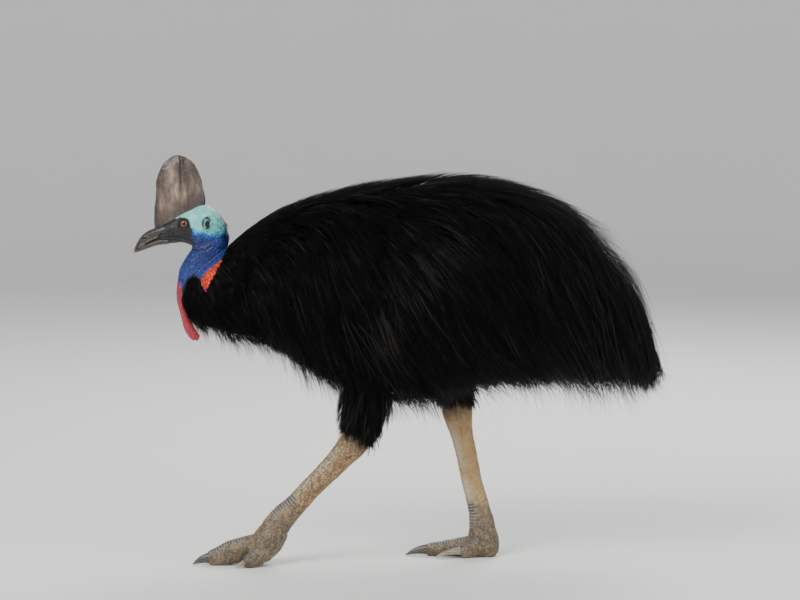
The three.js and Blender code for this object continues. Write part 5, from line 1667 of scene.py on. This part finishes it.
def thigh_coat(name, side_name, plumage, finish, less):
    """Plumage down one thigh, ending in a ragged fringe over the top of the shank."""
    rng = np.random.default_rng(SEED + 20 + (side_name == "left"))
    thigh = THIGH_COAT[side_name]
    limb = Limb(LEGS[side_name]["thigh"])
    count = int(plumage.plumes * thigh["share"]) // less
    t = 0.22 + 0.8 * rng.random(count)
    angle = rng.random(count) * 2 * np.pi
    length = mix(110, 62, smooth(t, 0.3, 1.0)) * (0.7 + 0.5 * rng.random(count))
    lift_end = np.where(rng.random(count) < 0.2, 6 + 20 * rng.random(count), rng.random(count) * 14 - 9)
    swing = rng.normal(0, 0.06, count)
    steps = 8
    path = []
    rings = []
    for share in np.arange(steps) / (steps - 1):
        at = t + share * length / limb.long
        center, way, side, ahead, across, deep = limb.frame(np.minimum(at, 1))
        past = np.maximum(at - 1, 0)[:, None] * limb.long
        grow = mix(-13, lift_end, share ** 0.6)
        a = angle + swing * share * 2
        rings.append(side * (np.cos(a) * (across + grow))[:, None]
                     + ahead * (np.sin(a) * (deep + grow))[:, None])
        narrow = 1 - 0.18 * smooth(at, 1.0, 1.35)
        path.append(center + past * way + rings[-1] * narrow[:, None])
    paths = np.stack(path, 1)
    outs = unit(rings[0])
    hem = thigh["hem"] - (paths[..., 0] + 100) * thigh["hem_slope"] + rng.normal(0, 12, count)[:, None]
    short = paths[..., 2] < hem
    keep = np.where(short.any(1), np.argmax(short, 1) / (steps - 1), 1.0)
    good = keep > 0.25
    paths, outs, keep, t, angle = (a[good] for a in (paths, outs, keep, t, angle))
    places, side, out, each = hairs_on(paths, outs, keep, plumage.hairs, 4, 7.0, rng)
    width = plumage.hair_width / MM * 0.85 * (0.7 + 0.5 * rng.random(len(each)))
    uv = np.stack([0.05 + 0.85 * t[each] / 1.02, 0.05 + 0.9 * angle[each] / (2 * np.pi)], 1)
    # Draws lean high: the thigh's hairs are lighter, and more of them take the pale colour of painted
    # highlights.
    mesh = hair_mesh(name, places, side, out, width, uv, rng.random(len(each)) ** 0.5)
    object_of(name, mesh, finish, "plumage", [f"thigh_{side_name}"])


# The pieces, each made by its own operator

# Lights as (name, share of the key light's power, size, place, aim)
LIGHTS = (
    ("key_light", 1.0, 3.2, (-3.2, -4.2, 4.6), (0, 0, 0.5)),
    ("fill_light", 0.45, 5.0, (4.6, -4.0, 3.0), (0, 0, 0.5)),
    ("rim_light", 0.6, 3.0, (1.5, 3.6, 4.2), (0, 0, 0.7)),
)
SKY = {"color": (0.8, 0.84, 0.9), "strength": 0.62}
CAMERA = {"place": (5, -7000, 1300), "down": 5.222, "sensor": 36, "sees_to": 60}


def coarse(size):
    return size


def build_head(scene):
    skin = scene.cassowary_skin
    mesh = fused("skin_head", head_form(), coarse(skin.voxel), 5)
    shape_head(mesh)
    nodes = ["head", "neck"] + [f"{part}_{side}" for part in ("nape", "wattle", "ear") for side in SIDES]
    object_of("skin_head", mesh, head_finish(skin), "turquoise_skin", nodes)


def build_body(_scene):
    parts = [closed_tube(body_rings(0.012, SKIN_TO, 90, 90, 0.0))]
    parts += [Limb(leg["thigh"]).surface(40, 40, -14) for leg in LEGS.values()]
    nodes = ["torso", "tail", "neck_plumage", "thigh_left", "thigh_right"]
    object_of("skin_body", fused("skin_body", parts, BODY_VOXEL, 8), under_finish(), "plumage", nodes)


def build_legs(scene):
    legs = scene.cassowary_legs
    for side, leg in LEGS.items():
        mesh = fused(f"skin_leg_{side}", leg_form(leg), coarse(legs.voxel), 4)
        shape_leg(mesh, leg)
        nodes = [f"{part}_{side}" for part in ("shank", "foot", "toe_middle", "toe_inner", "toe_outer")]
        object_of(f"skin_leg_{side}", mesh, leg_finish(legs, f"leg_scales_{side}"), "leg_scales", nodes)


def build_casque(scene):
    finish = casque_finish(scene.cassowary_horn)
    object_of("casque_horn", casque_mesh(), finish, "casque_horn", ["casque"])


def build_bill(scene):
    finish = bill_finish(scene.cassowary_horn)
    for name, sections in (("upper", BILL_UPPER), ("lower", BILL_LOWER)):
        mesh = bill_mesh(f"bill_{name}_horn", sections, name == "upper")
        object_of(f"bill_{name}_horn", mesh, finish, "bill_horn", [f"bill_{name}"])


def build_eyes(scene):
    finish = eye_finish(scene.cassowary_horn)
    for name, side in SIDES.items():
        mesh = eye_mesh(f"eyeball_{name}", side)
        object_of(f"eyeball_{name}", mesh, finish, "iris", [f"eye_{name}"])


def build_claws(_scene):
    dark = claw_finish("claw_horn", (0.02, 0.018, 0.016), (0.13, 0.115, 0.095))
    spur = claw_finish("spur_horn", (0.15, 0.125, 0.09), (0.38, 0.33, 0.25))
    for side, leg in LEGS.items():
        for toe, (bed, tip, half, rise) in leg["claws"].items():
            mesh = claw_mesh(f"horn_{toe}_{side}", bed, tip, half, rise)
            slot = "spur_horn" if toe == "inner" else "claw_horn"
            finish = dark if toe == "middle" else spur
            object_of(f"horn_{toe}_{side}", mesh, finish, slot, [f"claw_{toe}_{side}"])


def build_quills(_scene):
    finish = quill_finish()
    for name, side in SIDES.items():
        parts = []
        for quill in QUILLS:
            s, turn, lift = np.transpose(quill)
            p = body_point(s, turn * side, np.minimum(lift, QUILLS_LIE))
            half = 1.4 * (1 - 0.7 * np.linspace(0, 1, len(p)))
            limb = Limb([(*at, r, r) for at, r in zip(p, half)], (0, -side, 0.1))
            parts.append(limb.surface(40, 14))
        points, faces = joined(parts)
        mesh = mesh_of(f"quills_{name}", placed(points), faces)
        object_of(f"quills_{name}", mesh, finish, "quill", [f"wing_{name}"])


def build_coat(scene):
    plumage = scene.cassowary_plumage
    less = 1
    finish = plumage_finish(plumage)
    coat_pieces(plumage, finish, less)
    for side in SIDES:
        thigh_coat(f"coat_thigh_{side}", side, plumage, finish, less)
    object_of("bristles_head", bristles("bristles_head", BRISTLES // less), finish, "plumage")


def area_light(name, power, size, place, at):
    data = bpy.data.lights.new(name, "AREA")
    data.energy = power
    data.size = size
    light = bpy.data.objects.new(name, data)
    bpy.context.scene.collection.objects.link(light)
    place, at = np.array(place, float), np.array(at, float)
    way = at - place
    light.location = place
    light.rotation_euler = Euler((
        math.acos(-way[2] / np.linalg.norm(way)), 0, math.atan2(way[1], way[0]) - math.pi / 2))


def build_floor(stage):
    """A round floor that bends up into a wall all round, out of the camera's way."""
    flat, curve, wall, around = 8.5, 3.0, 7.0, 96
    bend = np.linspace(0, math.pi / 2, 16)
    radii = [*(flat + curve * np.sin(bend)), flat + curve]
    heights = [*(curve - curve * np.cos(bend)), wall]
    angles = circle(around)
    rings = [[(r * math.cos(a), r * math.sin(a), z) for a in angles] for r, z in zip(radii, heights)]
    points = np.array([point for ring in rings for point in ring] + [(0, 0, 0)])
    j = np.arange(around)
    middle = np.stack([j, (j + 1) % around, j * 0 + len(points) - 1], 1)
    faces = np.concatenate([sheet_faces(len(radii), around)[:, ::-1], middle])
    f = Finish("floor", 0.85, Specular_IOR_Level=0.2)
    color = f.blend(f.noise(0.6, 3), tuple(stage.floor), tuple(c * 0.97 for c in stage.floor))
    backdrop = object_of("floor", mesh_of("floor", points, faces), f.colored(color))


def build_stage(scene):
    stage = scene.cassowary_stage
    build_floor(stage)
    for name, share, size, place, at in LIGHTS:
        area_light(name, stage.key * share, size, place, at)
    world = bpy.data.worlds.new("studio")
    world.use_nodes = True
    background = world.node_tree.nodes["Background"]
    background.inputs["Color"].default_value = (*SKY["color"], 1)
    background.inputs["Strength"].default_value = SKY["strength"]
    bpy.context.scene.world = world
    data = bpy.data.cameras.new("camera")
    data.lens = stage.lens
    data.sensor_width = CAMERA["sensor"]
    data.clip_end = CAMERA["sees_to"]
    camera = bpy.data.objects.new("camera", data)
    bpy.context.scene.collection.objects.link(camera)
    camera.location = placed(CAMERA["place"])
    camera.rotation_euler = Euler((math.radians(90 - CAMERA["down"]), 0, 0))
    bpy.context.scene.camera = camera


def run(build, operator, context):
    """Runs one builder and reports its failure as an error."""
    before = set(bpy.data.objects)
    build(context.scene)
    if not set(bpy.data.objects) - before:
        raise RuntimeError(operator.bl_label + " made no piece")
    return {"FINISHED"}


class CASSOWARY_OT_head_skin(bpy.types.Operator):
    """Makes the skin of head, neck, wattles, nape and ears"""
    bl_idname = "cassowary.head_skin"
    bl_label = "Head and neck"

    def execute(self, context):
        return run(build_head, self, context)


class CASSOWARY_OT_body_skin(bpy.types.Operator):
    """Makes the dark skin of the body and thighs"""
    bl_idname = "cassowary.body_skin"
    bl_label = "Body under the plumage"

    def execute(self, context):
        return run(build_body, self, context)


class CASSOWARY_OT_leg_scales(bpy.types.Operator):
    """Makes the scaled skin of shanks and feet"""
    bl_idname = "cassowary.leg_scales"
    bl_label = "Legs"

    def execute(self, context):
        return run(build_legs, self, context)


class CASSOWARY_OT_casque(bpy.types.Operator):
    """Makes the horn of the casque"""
    bl_idname = "cassowary.casque"
    bl_label = "Casque"

    def execute(self, context):
        return run(build_casque, self, context)


class CASSOWARY_OT_bill(bpy.types.Operator):
    """Makes the horn of both halves of the bill"""
    bl_idname = "cassowary.bill"
    bl_label = "Bill"

    def execute(self, context):
        return run(build_bill, self, context)


class CASSOWARY_OT_eyes(bpy.types.Operator):
    """Makes both eyeballs"""
    bl_idname = "cassowary.eyes"
    bl_label = "Eyes"

    def execute(self, context):
        return run(build_eyes, self, context)


class CASSOWARY_OT_claws(bpy.types.Operator):
    """Makes the horn of the six claws"""
    bl_idname = "cassowary.claws"
    bl_label = "Claws"

    def execute(self, context):
        return run(build_claws, self, context)


class CASSOWARY_OT_quills(bpy.types.Operator):
    """Makes the bare quills of both wings"""
    bl_idname = "cassowary.quills"
    bl_label = "Wing quills"

    def execute(self, context):
        return run(build_quills, self, context)


class CASSOWARY_OT_coat(bpy.types.Operator):
    """Makes the hair-like plumage of neck, body, tail, thighs and head"""
    bl_idname = "cassowary.coat"
    bl_label = "Plumage"

    def execute(self, context):
        return run(build_coat, self, context)


class CASSOWARY_OT_stage(bpy.types.Operator):
    """Makes the floor, backdrop, lights and camera"""
    bl_idname = "cassowary.stage"
    bl_label = "Stage"

    def execute(self, context):
        return run(build_stage, self, context)


class CASSOWARY_PT_pieces(bpy.types.Panel):
    """Lists the pieces and their settings"""
    bl_label = "Cassowary"
    bl_idname = "CASSOWARY_PT_pieces"
    bl_space_type = "VIEW_3D"
    bl_region_type = "UI"
    bl_category = "Cassowary"

    def draw(self, context):
        layout = self.layout
        for operator in OPERATORS:
            layout.operator(operator.bl_idname)
        for key, group in GROUPS.items():
            box = layout.box()
            for name in group.__annotations__:
                box.prop(getattr(context.scene, key), name)


OPERATORS = (
    CASSOWARY_OT_head_skin,
    CASSOWARY_OT_body_skin,
    CASSOWARY_OT_leg_scales,
    CASSOWARY_OT_casque,
    CASSOWARY_OT_bill,
    CASSOWARY_OT_eyes,
    CASSOWARY_OT_claws,
    CASSOWARY_OT_quills,
    CASSOWARY_OT_coat,
    CASSOWARY_OT_stage,
)
GROUPS = {
    "cassowary_plumage": CassowaryPlumage,
    "cassowary_skin": CassowarySkin,
    "cassowary_horn": CassowaryHorn,
    "cassowary_legs": CassowaryLegs,
    "cassowary_stage": CassowaryStage,
}


def register():
    for part in (*GROUPS.values(), *OPERATORS, CASSOWARY_PT_pieces):
        bpy.utils.register_class(part)
    for key, group in GROUPS.items():
        setattr(bpy.types.Scene, key, bpy.props.PointerProperty(type=group))


def unregister():
    for key in GROUPS:
        delattr(bpy.types.Scene, key)
    for part in (CASSOWARY_PT_pieces, *reversed(OPERATORS), *reversed(list(GROUPS.values()))):
        bpy.utils.unregister_class(part)


def main():
    register()
    bpy.ops.cassowary.head_skin()
    bpy.ops.cassowary.body_skin()
    bpy.ops.cassowary.leg_scales()
    bpy.ops.cassowary.casque()
    bpy.ops.cassowary.bill()
    bpy.ops.cassowary.eyes()
    bpy.ops.cassowary.claws()
    bpy.ops.cassowary.quills()
    bpy.ops.cassowary.coat()
    bpy.ops.cassowary.stage()


if __name__ == "__main__":
    main()
